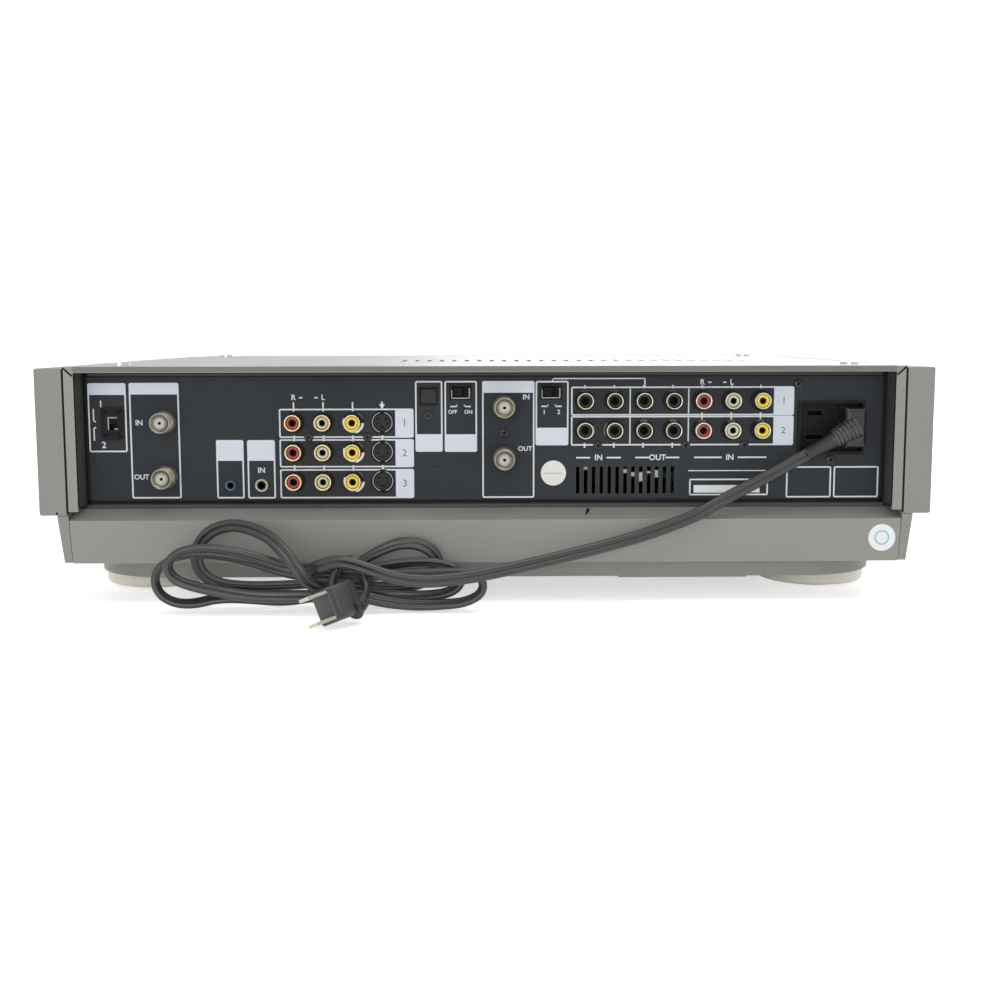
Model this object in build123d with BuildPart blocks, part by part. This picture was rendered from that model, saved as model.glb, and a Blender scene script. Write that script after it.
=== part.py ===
from build123d import *
import math
import os

# Video cassette recorder, millimetres. +Z up, the front faces -Y, the rear with the sockets faces +Y.
# The origin is on the floor, under the middle of the box.

# Overall sizes and levels
chassis_width = 430.0
side_panel_thickness = 15.0
body_depth = 370.0
dial_projection = 15.0
pad_thickness = 1.5
foot_thickness = 9.7
tub_height = 10.3
base_height = 26.5
upper_height = 74.3
seat_gap = 0.3
slide_gap = 0.35

side_x = chassis_width / 2
rear_y = (body_depth + dial_projection) / 2
front_y = rear_y - body_depth
foot_z = pad_thickness
tub_z = foot_z + foot_thickness
base_z = tub_z + tub_height
deck_z = base_z + base_height
cover_z = deck_z + upper_height

# Top cover
cover_sheet = 1.0
cover_hem_width = 5.0
cover_hem_depth = 2.0
cover_lip_height = 2.9
cover_rear_setback = 20.0
cover_slot_count = 28
cover_slot_pitch = 7.8
cover_slot_width = 2.6
cover_slot_length = 42.0
cover_slot_x = -54.5
cover_slot_setback = 160.5
cover_screw_radius = 5.0
cover_screw_head = 1.4
cover_screw_shank = 1.9
cover_screw_length = 6.0
cover_screw_x = 196.0
cover_screw_rear = 40.0
cover_screw_front = 12.5

# Side panels and skirts
side_panel_drop = 1.6
side_panel_step = 0.6
side_panel_round = 1.8
skirt_top_thickness = 5.6
skirt_bottom_thickness = 4.0
skirt_lean = 1.5
skirt_rise = 0.4

# Base chassis
base_wall = 3.0
base_floor = 2.5
base_bevel_drop = 4.4
base_post_radius = 4.0
base_front_setback = 17.5

# Bottom tub, service plate and feet
tub_setback = 15.0
tub_front_setback = 24.0
tub_corner_radius = 46.0
tub_wall = 2.0
service_plate_width = 68.0
service_plate_depth = 110.0
service_plate_thickness = 1.0
service_plate_x = -104.0
foot_radius = 29.5
foot_round = 2.5
foot_x = 184.0
foot_rear = 67.5
foot_front = 65.0
pad_radius = 20.0
bottom_screw_radius = 4.0
bottom_screw_head = 1.6
bottom_screw_x = 110.0
bottom_screw_front = 67.5
bottom_screw_rear = 172.5

# Rear panel
panel_thickness = 1.2
panel_recess = 15.0
panel_side_gap = 0.5
panel_screw_radius = 2.4
panel_screw_head = 1.4
panel_screw_shank = 1.25
panel_screw_length = 5.0
screw_clearance = 0.15
vent_count = 13
vent_pitch = 4.15
vent_width = 2.0
vent_height = 14.4
vent_x = -72.8
vent_z = 62.4

# Jacks
jack_pitch_x = 15.35
jack_pitch_z = 15.4
jack_radius = 4.15
jack_neck_radius = 3.85
jack_wall = 0.8
jack_projection = 7.0
jack_depth = 7.5
jack_clearance = 0.05
jack_collar_radius = 5.4
jack_collar_projection = 0.6
jack_hole_clearance = 0.2
insert_setback = 0.9
insert_hole_radius = 1.65
av_first_x = 100.4
av_top_z = 93.05
av_block_depth = 26.0
av_block_margin = 7.6
decoder_first_x = -51.35
decoder_top_z = 104.1
decoder_screw_drop = 8.0
video_socket_radius = 5.6
video_groove_outer = 4.8
video_groove_inner = 3.9
video_groove_depth = 6.0
video_pin_radius = 0.6
video_pin_ring = 2.3

# Aerial connectors
aerial_radius = 5.2
aerial_projection = 12.0
aerial_nut_radius = 6.4
aerial_nut_thickness = 2.0
aerial_body_radius = 6.0
aerial_body_depth = 14.0
aerial_face_radius = 3.3
aerial_face_depth = 0.5
aerial_hole_radius = 0.8
uhf_x = 167.5
uhf_top_z = 93.5
uhf_pitch = 28.8
satellite_x = -9.3
satellite_top_z = 101.0
satellite_pitch = 26.9

# Control jacks
control_z = 60.2
small_jack_x = 134.0
small_jack_bore = 1.3
small_jack_ring = 2.9
mini_jack_x = 117.8
mini_jack_bore = 1.8
mini_jack_ring = 3.6
control_ring_projection = 1.2
control_body_depth = 13.0
control_body_margin = 1.6
control_bore_depth = 12.0

# Slide switches
switch_depth = 12.0
switch_wall = 1.4
switch_pocket_depth = 5.0
channel_switch_x = 194.2
channel_switch_z = 92.8
channel_window_width = 5.8
channel_window_height = 7.6
channel_plate_width = 11.4
channel_plate_height = 16.2
supply_switch_x = 13.4
supply_switch_z = 108.8
output_switch_x = -33.7
output_switch_z = 108.9
flat_window_width = 9.0
flat_window_height = 5.8
lever_thickness = 4.4
lever_travel = 3.0

# Optical socket
optical_x = 30.2
optical_z = 106.6
optical_width = 10.2
optical_height = 10.0
optical_depth = 13.0
optical_wall = 1.5
shutter_thickness = 0.9
shutter_setback = 1.2

# Mains socket block
mains_x = -180.7
mains_z = 89.8
mains_width = 35.6
mains_height = 28.4
mains_rim = 1.5
mains_rim_projection = 0.8
mains_rim_round = 3.0
mains_pocket_depth = 5.6
mains_depth = 22.0
outlet_slot_spacing = 12.7
outlet_slot_thickness = 2.4
outlet_short_slot = 7.6
outlet_long_slot = 8.9
outlet_slot_depth = 11.0
outlet_x = -173.2
outlet_z = 90.65

# Mains cord and its connector
cord_radius = 3.3
cord_floor_gap = 0.2
connector_width = 11.0
connector_height = 21.0
connector_x = -191.3
connector_z = 90.2
connector_projection = 9.5
relief_root = (-191.65, 185.75, 90.7)
relief_tip = (-166.0, 187.5, 76.5)
relief_root_radius = 6.3
relief_neck_radius = 4.3
relief_rib_count = 6
relief_rib_pitch = 2.1
relief_rib_depth = 0.9
relief_rib_step = 0.22
lead_route = [
    relief_tip,
    (-151.0, 188.5, 68.2),
    (-136.6, 189.8, 60.9),
    (-122.5, 192.2, 53.8),
    (-109.0, 197.6, 47.0),
    (-93.0, 199.0, 40.8),
    (-76.0, 200.6, 35.2),
    (-51.0, 206.0, 29.4),
    (-26.0, 214.5, 25.0),
    (-3.0, 221.6, 21.4),
    (18.0, 222.6, 20.5),
    (35.0, 222.6, 20.5),
]
hank_turns = 3
hank_pitch = 7.7
hank_first_radius = 8.5
hank_radius_step = 2.8
hank_left_x = 150.0
hank_right_x = 17.0
hank_wander = 4.0
hank_end_x = 44.0
tail_route = [
    (61.0, 199.5, 37.3),
    (67.0, 209.0, 42.0),
    (60.0, 221.5, 38.5),
    (52.0, 231.5, 30.0),
    (46.5, 236.5, 21.0),
    (54.0, 239.3, 13.2),
]
plug_face = (72.6, 251.0, 11.8)
plug_direction = (0.62, 0.77, -0.10)
plug_across = (-0.486, 0.0, -0.874)
plug_width = 20.0
plug_thickness = 12.0
plug_length = 18.0
plug_round = 2.0
plug_relief_length = 8.0
plug_relief_root_radius = 4.6
blade_spacing = 12.7
blade_width = 6.3
blade_thickness = 1.5
blade_length = 17.0
blade_root = 6.0

# Front panel
fascia_thickness = 4.0
fascia_return = 3.0
fascia_bottom_rise = 0.6
fascia_round = 1.5
bay_x = -92.5
bay_z = 94.5
bay_width = 103.0
bay_height = 21.0
door_thickness = 2.0
window_x = 42.0
window_z = 94.0
window_width = 150.0
window_height = 28.0
window_thickness = 2.0
button_projection = 2.0
button_flange = 1.2
button_flange_thickness = 1.2
wide_button_width = 26.0
wide_button_height = 10.0
wide_button_x = -186.0
power_z = 98.0
eject_z = 76.0
key_width = 20.0
key_height = 8.0
key_z = 58.0
key_first_x = -60.0
key_pitch = 25.0
dial_x = 168.0
dial_z = 86.0
shuttle_radius = 28.0
shuttle_projection = 8.0
jog_radius = 19.0
jog_gap = 0.4
dial_hole_radius = 8.0
jog_shaft_radius = 4.0
shaft_gap = 0.05
headphone_x = 188.0
headphone_z = 38.0
headphone_bore = 3.2
headphone_ring = 6.0

# Cassette mechanism
cassette_width = 95.0
cassette_depth = 62.5
cassette_thickness = 15.0
holder_wall = 1.4
holder_gap = 0.7
holder_ledge = 9.0
holder_setback = 25.5
mech_plate_z = 61.0
mech_plate_thickness = 1.6
mech_leg_radius = 4.0
deck_side_margin = 12.0
deck_front_margin = 4.0
deck_rear_margin = 14.0
guide_width = 3.0
guide_inset = 20.0
rail_thickness = 2.0
rail_inset = 6.0
rail_rise = 6.0
holder_bridge = 14.0
reel_spacing = 46.0
reel_setback = 30.0
reel_radius = 12.0
reel_height = 3.0
reel_spindle_radius = 3.2
reel_spindle_height = 8.0
reel_shaft_radius = 1.5
reel_shaft_length = 5.0
drum_radius = 20.0
drum_setback = 121.5
drum_base_height = 6.0
drum_height = 14.0
drum_shaft_radius = 2.5
drum_shaft_length = 5.0
capstan_x = -62.0
capstan_setback = 107.5
capstan_radius = 1.2
capstan_height = 16.0
flywheel_radius = 16.0
flywheel_height = 6.0

# Boards
board_thickness = 1.6
board_rise = 24.0
main_board_x0 = -8.0
main_board_x1 = 206.0
board_front_gap = 20.0
board_rear_gap = 30.3
supply_x0 = -206.0
supply_x1 = -112.0
supply_length = 140.0
post_inset = 8.0
tuner_width = 28.0
tuner_length = 50.0
chip_size = 22.0
chip_height = 3.0
chip_pitch_x = 36.0
chip_pitch_y = 50.0
capacitor_radius = 5.0
capacitor_height = 16.0
capacitor_pitch = 26.0
capacitor_setback = 100.0
transformer_width = 46.0
transformer_length = 48.0
transformer_height = 42.0
transformer_inset = 10.0
sink_setback = 20.0
sink_thickness = 4.0
sink_height = 36.0
large_capacitor_radius = 9.0
large_capacitor_height = 30.0
large_capacitor_pitch = 22.0

os.makedirs("parts", exist_ok=True)

panel_front = rear_y - panel_recess
panel_back = panel_front - panel_thickness
fascia_back = front_y + fascia_thickness
inner_x = side_x - seat_gap
cover_front = front_y + cover_rear_setback
base_front = front_y + base_front_setback
base_inside = base_z + base_floor
board_z = base_inside + board_rise
cover_screw_y = (rear_y - cover_screw_rear, cover_front + cover_screw_front)
holder_front_y = fascia_back + holder_setback
drum_y = fascia_back + drum_setback
capstan_y = fascia_back + capstan_setback
main_board_y0 = base_front + board_front_gap
main_board_y1 = panel_back - board_rear_gap
supply_y1 = panel_back - board_rear_gap
supply_y0 = supply_y1 - supply_length


def slab(x0, x1, y0, y1, z0, z1, mode=Mode.ADD):
    with Locations(((x0 + x1) / 2, (y0 + y1) / 2, (z0 + z1) / 2)):
        Box(x1 - x0, y1 - y0, z1 - z0, mode=mode)


def rod_y(x, z, radius, y0, y1, mode=Mode.ADD):
    with Locations(Location((x, (y0 + y1) / 2, z), (90, 0, 0))):
        Cylinder(radius, y1 - y0, mode=mode)


def rod_z(x, y, radius, z0, z1, mode=Mode.ADD):
    with Locations((x, y, (z0 + z1) / 2)):
        Cylinder(radius, z1 - z0, mode=mode)


def rod_x(y, z, radius, x0, x1, mode=Mode.ADD):
    with Locations(Location(((x0 + x1) / 2, y, z), (0, 90, 0))):
        Cylinder(radius, x1 - x0, mode=mode)


def save(builder, name):
    builder.part.label = name
    export_step(builder.part, f"parts/{name}.step")


# Jack places, as (x, z)
av_block_x = [av_first_x - i * jack_pitch_x for i in range(4)]
av_block_z = [av_top_z - i * jack_pitch_z for i in range(3)]
decoder_x = [decoder_first_x - i * jack_pitch_x for i in range(7)]
decoder_z = [decoder_top_z - i * jack_pitch_z for i in range(2)]
red_jacks = [(av_block_x[0], z) for z in av_block_z] + [(decoder_x[4], z) for z in decoder_z]
white_jacks = [(av_block_x[1], z) for z in av_block_z] + [(decoder_x[5], z) for z in decoder_z]
yellow_jacks = [(av_block_x[2], z) for z in av_block_z] + [(decoder_x[6], z) for z in decoder_z]
black_jacks = [(x, z) for x in decoder_x[:4] for z in decoder_z]
phono_jacks = red_jacks + white_jacks + yellow_jacks + black_jacks
av_phono_jacks = [(x, z) for x, z in phono_jacks if x > 0]
decoder_phono_jacks = [(x, z) for x, z in phono_jacks if x < 0]
video_sockets = [(av_block_x[3], z) for z in av_block_z]
uhf_z = [uhf_top_z, uhf_top_z - uhf_pitch]
satellite_z = [satellite_top_z, satellite_top_z - satellite_pitch]
aerials = [(uhf_x, z) for z in uhf_z] + [(satellite_x, z) for z in satellite_z]

# Rear panel screw places, as (x, z)
av_screw_z = av_top_z - jack_pitch_z / 2
av_screws = [(av_first_x - jack_pitch_x / 2, av_screw_z), (av_first_x - jack_pitch_x * 5 / 2, av_screw_z)]
decoder_screw_z = decoder_z[1] - decoder_screw_drop
decoder_screws = [(decoder_first_x - jack_pitch_x * i, decoder_screw_z) for i in (0.45, 3.45, 5.45)]
optical_screw = (optical_x, optical_z - optical_height)
satellite_screw = (satellite_x, satellite_top_z - satellite_pitch / 2)
mains_screw = (mains_x, mains_z - mains_height / 2 - panel_screw_radius - seat_gap)
corner_screw = (mains_x + mains_width / 2, cover_z - 9.5)
panel_screws = av_screws + decoder_screws + [optical_screw, satellite_screw, mains_screw, corner_screw]

# Top cover: folded sheet with a hemmed rear edge and a lip
with BuildPart() as top_cover:
    slab(-inner_x, inner_x, cover_front, rear_y, deck_z + seat_gap, cover_z)
    slab(
        -inner_x + cover_sheet,
        inner_x - cover_sheet,
        cover_front - 1,
        rear_y + 1,
        deck_z,
        cover_z - cover_sheet,
        mode=Mode.SUBTRACT,
    )
    slab(-inner_x, inner_x, rear_y - cover_hem_depth, rear_y, cover_z - cover_lip_height, cover_z)
    for side in (-1, 1):
        hem_x = sorted((side * inner_x, side * (inner_x - cover_hem_width)))
        slab(*hem_x, rear_y - cover_hem_depth, rear_y, deck_z + seat_gap, cover_z)
    for i in range(cover_slot_count):
        slot_x = cover_slot_x + (i - (cover_slot_count - 1) / 2) * cover_slot_pitch
        with Locations((slot_x, rear_y - cover_slot_setback, cover_z)):
            Box(cover_slot_width, cover_slot_length, 4 * cover_sheet, mode=Mode.SUBTRACT)
    for x in (-cover_screw_x, cover_screw_x):
        for y in cover_screw_y:
            rod_z(x, y, cover_screw_shank + screw_clearance, cover_z - 3, cover_z + 1, mode=Mode.SUBTRACT)
save(top_cover, "top_cover")

with BuildPart() as cover_screws:
    for x in (-cover_screw_x, cover_screw_x):
        for y in cover_screw_y:
            rod_z(x, y, cover_screw_radius, cover_z, cover_z + cover_screw_head)
            rod_z(x, y, cover_screw_shank, cover_z - cover_screw_length, cover_z)
save(cover_screws, "cover_screws")

# Side panels: thick boards with rounded outer edges
for side, name in ((-1, "side_panel_left"), (1, "side_panel_right")):
    with BuildPart() as side_panel:
        panel_x = sorted((side * side_x, side * (side_x + side_panel_thickness)))
        slab(*panel_x, front_y, rear_y, deck_z - side_panel_drop, cover_z - side_panel_step)
        outer_edges = side_panel.faces().sort_by(Axis.X)[-1 if side > 0 else 0].edges()
        fillet(outer_edges, side_panel_round)
    save(side_panel, name)

# Side skirts under the side panels, leaning with the base
skirt_top_z = deck_z - side_panel_drop - seat_gap
skirt_bottom_z = base_z + skirt_rise
for side, name in ((-1, "side_skirt_left"), (1, "side_skirt_right")):
    with BuildPart() as side_skirt:
        with BuildSketch(Plane.XZ.offset(-rear_y)):
            with BuildLine():
                Polyline(
                    (side * side_x, skirt_top_z),
                    (side * (side_x + skirt_top_thickness), skirt_top_z),
                    (side * (side_x - skirt_lean + skirt_bottom_thickness), skirt_bottom_z),
                    (side * (side_x - skirt_lean), skirt_bottom_z),
                    close=True,
                )
            make_face()
        extrude(amount=rear_y - fascia_back - seat_gap)
    save(side_skirt, name)

# Base chassis: leaning side walls, bevelled rear wall, floor with posts
tray_x = inner_x - skirt_lean - base_wall
post_places = [
    (main_board_x0 + post_inset, main_board_y0 + post_inset),
    (main_board_x1 - post_inset, main_board_y0 + post_inset),
    (main_board_x0 + post_inset, main_board_y1 - post_inset),
    (main_board_x1 - post_inset, main_board_y1 - post_inset),
    (supply_x0 + post_inset, supply_y0 + post_inset),
    (supply_x1 - post_inset, supply_y0 + post_inset),
    (supply_x0 + post_inset, supply_y1 - post_inset),
    (supply_x1 - post_inset, supply_y1 - post_inset),
]
with BuildPart() as base_chassis:
    with BuildSketch(Plane.XZ.offset(-rear_y)):
        with BuildLine():
            Polyline(
                (-inner_x, deck_z),
                (inner_x, deck_z),
                (inner_x - skirt_lean, base_z),
                (-inner_x + skirt_lean, base_z),
                close=True,
            )
        make_face()
    extrude(amount=rear_y - base_front)
    with BuildSketch(Plane.YZ.offset(-side_x)):
        with BuildLine():
            Polyline(
                (panel_front, deck_z),
                (rear_y, deck_z - base_bevel_drop),
                (rear_y + 1, deck_z - base_bevel_drop),
                (rear_y + 1, deck_z + 1),
                (panel_front, deck_z + 1),
                close=True,
            )
        make_face()
    extrude(amount=chassis_width, mode=Mode.SUBTRACT)
    tray_top = deck_z - base_bevel_drop - base_wall
    tray_y0 = base_front + base_wall
    slab(-tray_x, tray_x, tray_y0, rear_y - base_wall, base_inside, tray_top, mode=Mode.SUBTRACT)
    slab(-tray_x, tray_x, tray_y0, panel_back - base_wall, base_inside, deck_z + 1, mode=Mode.SUBTRACT)
    for x, y in post_places:
        rod_z(x, y, base_post_radius, base_inside, board_z)
save(base_chassis, "base_chassis")

# Bottom tub: shallow pan with large corner radii, open upwards
tub_x = inner_x - skirt_lean
tub_rear = rear_y - tub_setback
tub_front = front_y + tub_front_setback
tub_length = tub_rear - tub_front
with BuildPart() as bottom_tub:
    with BuildSketch(Plane.XY.offset(tub_z)):
        with Locations((0, (tub_rear + tub_front) / 2)):
            RectangleRounded(2 * tub_x, tub_length, tub_corner_radius)
    extrude(amount=tub_height)
    with BuildSketch(Plane.XY.offset(tub_z + tub_wall)):
        with Locations((0, (tub_rear + tub_front) / 2)):
            RectangleRounded(2 * (tub_x - tub_wall), tub_length - 2 * tub_wall, tub_corner_radius - tub_wall)
    extrude(amount=tub_height, mode=Mode.SUBTRACT)
save(bottom_tub, "bottom_tub")

with BuildPart() as service_plate:
    plate_y1 = tub_rear - tub_wall
    slab(
        service_plate_x - service_plate_width / 2,
        service_plate_x + service_plate_width / 2,
        plate_y1 - service_plate_depth,
        plate_y1,
        tub_z - service_plate_thickness,
        tub_z,
    )
save(service_plate, "service_plate")

foot_places = [(x, y) for x in (-foot_x, foot_x) for y in (rear_y - foot_rear, front_y + foot_front)]
with BuildPart() as feet:
    for x, y in foot_places:
        rod_z(x, y, foot_radius, foot_z, tub_z)
    fillet(feet.edges().group_by(Axis.Z)[0], foot_round)
save(feet, "feet")

with BuildPart() as foot_pads:
    for x, y in foot_places:
        rod_z(x, y, pad_radius, 0, pad_thickness)
save(foot_pads, "foot_pads")

with BuildPart() as bottom_screws:
    for x in (-bottom_screw_x, 0, bottom_screw_x):
        for y in (front_y + bottom_screw_front, rear_y - bottom_screw_rear):
            rod_z(x, y, bottom_screw_radius, tub_z - bottom_screw_head, tub_z)
save(bottom_screws, "bottom_screws")

# Rear panel with a hole for everything that passes through it
aerial_hole = aerial_radius + jack_hole_clearance
collar_hole = jack_collar_radius + jack_hole_clearance
socket_hole = video_socket_radius + jack_hole_clearance
window_reveal = jack_hole_clearance
flat_plate_width = flat_window_width + 2 * switch_wall
flat_plate_height = flat_window_height + 2 * switch_wall
switch_windows = [
    (channel_switch_x, channel_switch_z, channel_plate_width, channel_plate_height),
    (supply_switch_x, supply_switch_z, flat_plate_width, flat_plate_height),
    (output_switch_x, output_switch_z, flat_plate_width, flat_plate_height),
]
with BuildPart() as rear_panel:
    panel_x = inner_x - cover_sheet - panel_side_gap
    slab(-panel_x, panel_x, panel_back, panel_front, deck_z, cover_z - cover_sheet - seat_gap)
    through = {"y0": panel_back - 1, "y1": panel_front + 1, "mode": Mode.SUBTRACT}
    for x, z in aerials:
        rod_y(x, z, aerial_hole, **through)
    for x, z in phono_jacks:
        rod_y(x, z, collar_hole, **through)
    for x, z in video_sockets:
        rod_y(x, z, socket_hole, **through)
    rod_y(small_jack_x, control_z, small_jack_ring + jack_hole_clearance, **through)
    rod_y(mini_jack_x, control_z, mini_jack_ring + jack_hole_clearance, **through)
    for x, z in panel_screws:
        rod_y(x, z, panel_screw_shank + screw_clearance, **through)
    openings = switch_windows + [
        (optical_x, optical_z, optical_width, optical_height),
        (mains_x, mains_z, mains_width, mains_height),
    ]
    for x, z, width, height in openings:
        with Locations((x, panel_front, z)):
            Box(
                width + 2 * window_reveal,
                4 * panel_thickness,
                height + 2 * window_reveal,
                mode=Mode.SUBTRACT,
            )
    for i in range(vent_count):
        with Locations((vent_x + (i - (vent_count - 1) / 2) * vent_pitch, panel_front, vent_z)):
            Box(vent_width, 4 * panel_thickness, vent_height, mode=Mode.SUBTRACT)
save(rear_panel, "rear_panel")

with BuildPart() as rear_panel_screws:
    for x, z in panel_screws:
        rod_y(x, z, panel_screw_radius, panel_front, panel_front + panel_screw_head)
        rod_y(x, z, panel_screw_shank, panel_front - panel_screw_length, panel_front)
save(rear_panel_screws, "rear_panel_screws")

# Aerial connectors: threaded barrel, hexagon nut outside, body behind the panel
with BuildPart() as f_connectors:
    aerial_end = panel_front + aerial_projection
    for x, z in aerials:
        rod_y(x, z, aerial_body_radius, panel_back - aerial_body_depth, panel_back)
        rod_y(x, z, aerial_radius, panel_back, aerial_end)
        with BuildSketch(Plane.XZ.offset(-panel_front)):
            with Locations((x, z)):
                RegularPolygon(aerial_nut_radius, 6)
        extrude(amount=-aerial_nut_thickness)
    for x, z in aerials:
        rod_y(x, z, aerial_face_radius, aerial_end - aerial_face_depth, aerial_end + 1, mode=Mode.SUBTRACT)
        rod_y(x, z, aerial_hole_radius, aerial_end - 6, aerial_end + 1, mode=Mode.SUBTRACT)
save(f_connectors, "f_connectors")


# A jack block is a dark moulding behind the panel, with a collar through it around each jack
def jack_block(x0, x1, z0, z1, jacks, sockets, screws):
    slab(x0, x1, panel_back - av_block_depth, panel_back, z0, z1)
    for x, z in jacks:
        rod_y(x, z, jack_collar_radius, panel_back, panel_front + jack_collar_projection)
    for x, z in jacks:
        bore = jack_neck_radius + jack_clearance
        rod_y(x, z, bore, panel_front - jack_depth, panel_front + 2, mode=Mode.SUBTRACT)
    for x, z in sockets:
        bore = video_socket_radius + jack_clearance
        rod_y(x, z, bore, panel_front - jack_depth, panel_front + 2, mode=Mode.SUBTRACT)
    for x, z in screws:
        bore = panel_screw_shank + screw_clearance
        rod_y(x, z, bore, panel_front - panel_screw_length - 1, panel_front + 1, mode=Mode.SUBTRACT)


with BuildPart() as av_jack_block:
    jack_block(
        av_block_x[-1] - av_block_margin,
        av_block_x[0] + av_block_margin,
        av_block_z[-1] - av_block_margin,
        av_block_z[0] + av_block_margin,
        av_phono_jacks,
        video_sockets,
        av_screws,
    )
save(av_jack_block, "av_jack_block")

with BuildPart() as decoder_jack_block:
    jack_block(
        decoder_x[-1] - av_block_margin,
        decoder_x[0] + av_block_margin,
        decoder_z[-1] - decoder_screw_drop - 3,
        decoder_z[0] + av_block_margin,
        decoder_phono_jacks,
        [],
        decoder_screws,
    )
save(decoder_jack_block, "decoder_jack_block")

jack_end = panel_front + jack_projection
jack_root = panel_front - jack_depth
shell_bore = jack_radius - jack_wall
with BuildPart() as rca_shells:
    for x, z in phono_jacks:
        rod_y(x, z, jack_neck_radius, jack_root, jack_end)
        rod_y(x, z, jack_radius, panel_front + jack_collar_projection, jack_end)
        rod_y(x, z, shell_bore, jack_root - 1, jack_end + 1, mode=Mode.SUBTRACT)
save(rca_shells, "rca_shells")

for jacks, name in (
    (red_jacks, "rca_inserts_red"),
    (white_jacks, "rca_inserts_white"),
    (yellow_jacks, "rca_inserts_yellow"),
    (black_jacks, "rca_inserts_black"),
):
    with BuildPart() as inserts:
        for x, z in jacks:
            rod_y(x, z, shell_bore - jack_clearance, jack_root, jack_end - insert_setback)
            rod_y(x, z, insert_hole_radius, jack_root + 2, jack_end + 1, mode=Mode.SUBTRACT)
    save(inserts, name)

# Round four-pin video sockets: ring, groove and a core with pin holes
with BuildPart() as s_video_sockets:
    socket_face = panel_front + jack_collar_projection
    groove_floor = socket_face - video_groove_depth
    for x, z in video_sockets:
        rod_y(x, z, video_socket_radius, jack_root, socket_face)
        rod_y(x, z, video_groove_outer, groove_floor, socket_face + 1, mode=Mode.SUBTRACT)
        rod_y(x, z, video_groove_inner, groove_floor, socket_face - 0.5)
        for angle in (35, 145, 215, 325):
            pin_x = x + video_pin_ring * math.cos(math.radians(angle))
            pin_z = z + video_pin_ring * math.sin(math.radians(angle))
            rod_y(pin_x, pin_z, video_pin_radius, groove_floor, socket_face, mode=Mode.SUBTRACT)
save(s_video_sockets, "s_video_sockets")

with BuildPart() as control_jacks:
    control_face = panel_front + control_ring_projection
    for x, ring, bore in (
        (small_jack_x, small_jack_ring, small_jack_bore),
        (mini_jack_x, mini_jack_ring, mini_jack_bore),
    ):
        body = ring + control_body_margin
        body_y0 = panel_back - control_body_depth
        slab(x - body, x + body, body_y0, panel_back, control_z - body, control_z + body)
        rod_y(x, control_z, ring, panel_back, control_face)
        rod_y(x, control_z, bore, control_face - control_bore_depth, control_face + 1, mode=Mode.SUBTRACT)
save(control_jacks, "control_jacks")

# Slide switch housings, each with a pocket for its lever
switch_face = panel_front
switch_floor = switch_face - switch_pocket_depth
switch_pockets = [
    (channel_switch_x, channel_switch_z, channel_window_width, channel_window_height),
    (supply_switch_x, supply_switch_z, flat_window_width, flat_window_height),
    (output_switch_x, output_switch_z, flat_window_width, flat_window_height),
]
with BuildPart() as switch_bodies:
    switch_back = switch_face - switch_depth
    for x, z, width, height in switch_windows:
        slab(x - width / 2, x + width / 2, switch_back, switch_face, z - height / 2, z + height / 2)
    for x, z, width, height in switch_pockets:
        slab(
            x - width / 2,
            x + width / 2,
            switch_floor,
            switch_face + 1,
            z - height / 2,
            z + height / 2,
            mode=Mode.SUBTRACT,
        )
save(switch_bodies, "switch_bodies")


# A lever stands at one end of its pocket and slides by its travel to the other
def lever(x, z, along_x, name):
    pocket_long = flat_window_width if along_x else channel_window_height
    pocket_short = flat_window_height if along_x else channel_window_width
    long_side = pocket_long - lever_travel - 2 * slide_gap
    short_side = pocket_short - 2 * slide_gap
    shift = lever_travel / 2
    width, height = (long_side, short_side) if along_x else (short_side, long_side)
    centre_x = x + shift if along_x else x
    centre_z = z if along_x else z + shift
    y0 = switch_floor + slide_gap
    with BuildPart() as piece:
        slab(
            centre_x - width / 2,
            centre_x + width / 2,
            y0,
            y0 + lever_thickness,
            centre_z - height / 2,
            centre_z + height / 2,
        )
        chamfer(piece.faces().sort_by(Axis.Y)[-1].edges(), 0.4)
    save(piece, name)


lever(channel_switch_x, channel_switch_z, False, "channel_switch_lever")
lever(supply_switch_x, supply_switch_z, True, "converter_switch_lever")
lever(output_switch_x, output_switch_z, True, "decoder_switch_lever")

# Optical socket with a shutter that folds in about its top edge
optical_x0 = optical_x - optical_width / 2
optical_x1 = optical_x + optical_width / 2
optical_z0 = optical_z - optical_height / 2
optical_z1 = optical_z + optical_height / 2
with BuildPart() as optical_socket:
    slab(optical_x0, optical_x1, panel_front - optical_depth, panel_front, optical_z0, optical_z1)
    slab(
        optical_x0 + optical_wall / 2,
        optical_x1 - optical_wall / 2,
        panel_front - optical_depth + optical_wall,
        panel_front + 1,
        optical_z0 + optical_wall / 2,
        optical_z1 - optical_wall / 2,
        mode=Mode.SUBTRACT,
    )
save(optical_socket, "optical_socket")

shutter_top = optical_z1 - optical_wall / 2 - slide_gap
shutter_y = panel_front - shutter_setback
with BuildPart() as optical_shutter:
    shutter_x0 = optical_x0 + optical_wall / 2 + slide_gap
    shutter_x1 = optical_x1 - optical_wall / 2 - slide_gap
    shutter_axis_z = shutter_top - shutter_thickness / 2
    slab(
        shutter_x0,
        shutter_x1,
        shutter_y - shutter_thickness,
        shutter_y,
        optical_z0 + optical_wall / 2 + slide_gap,
        shutter_axis_z,
    )
    rod_x(shutter_y - shutter_thickness / 2, shutter_axis_z, shutter_thickness / 2, shutter_x0, shutter_x1)
save(optical_shutter, "optical_shutter")

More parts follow.
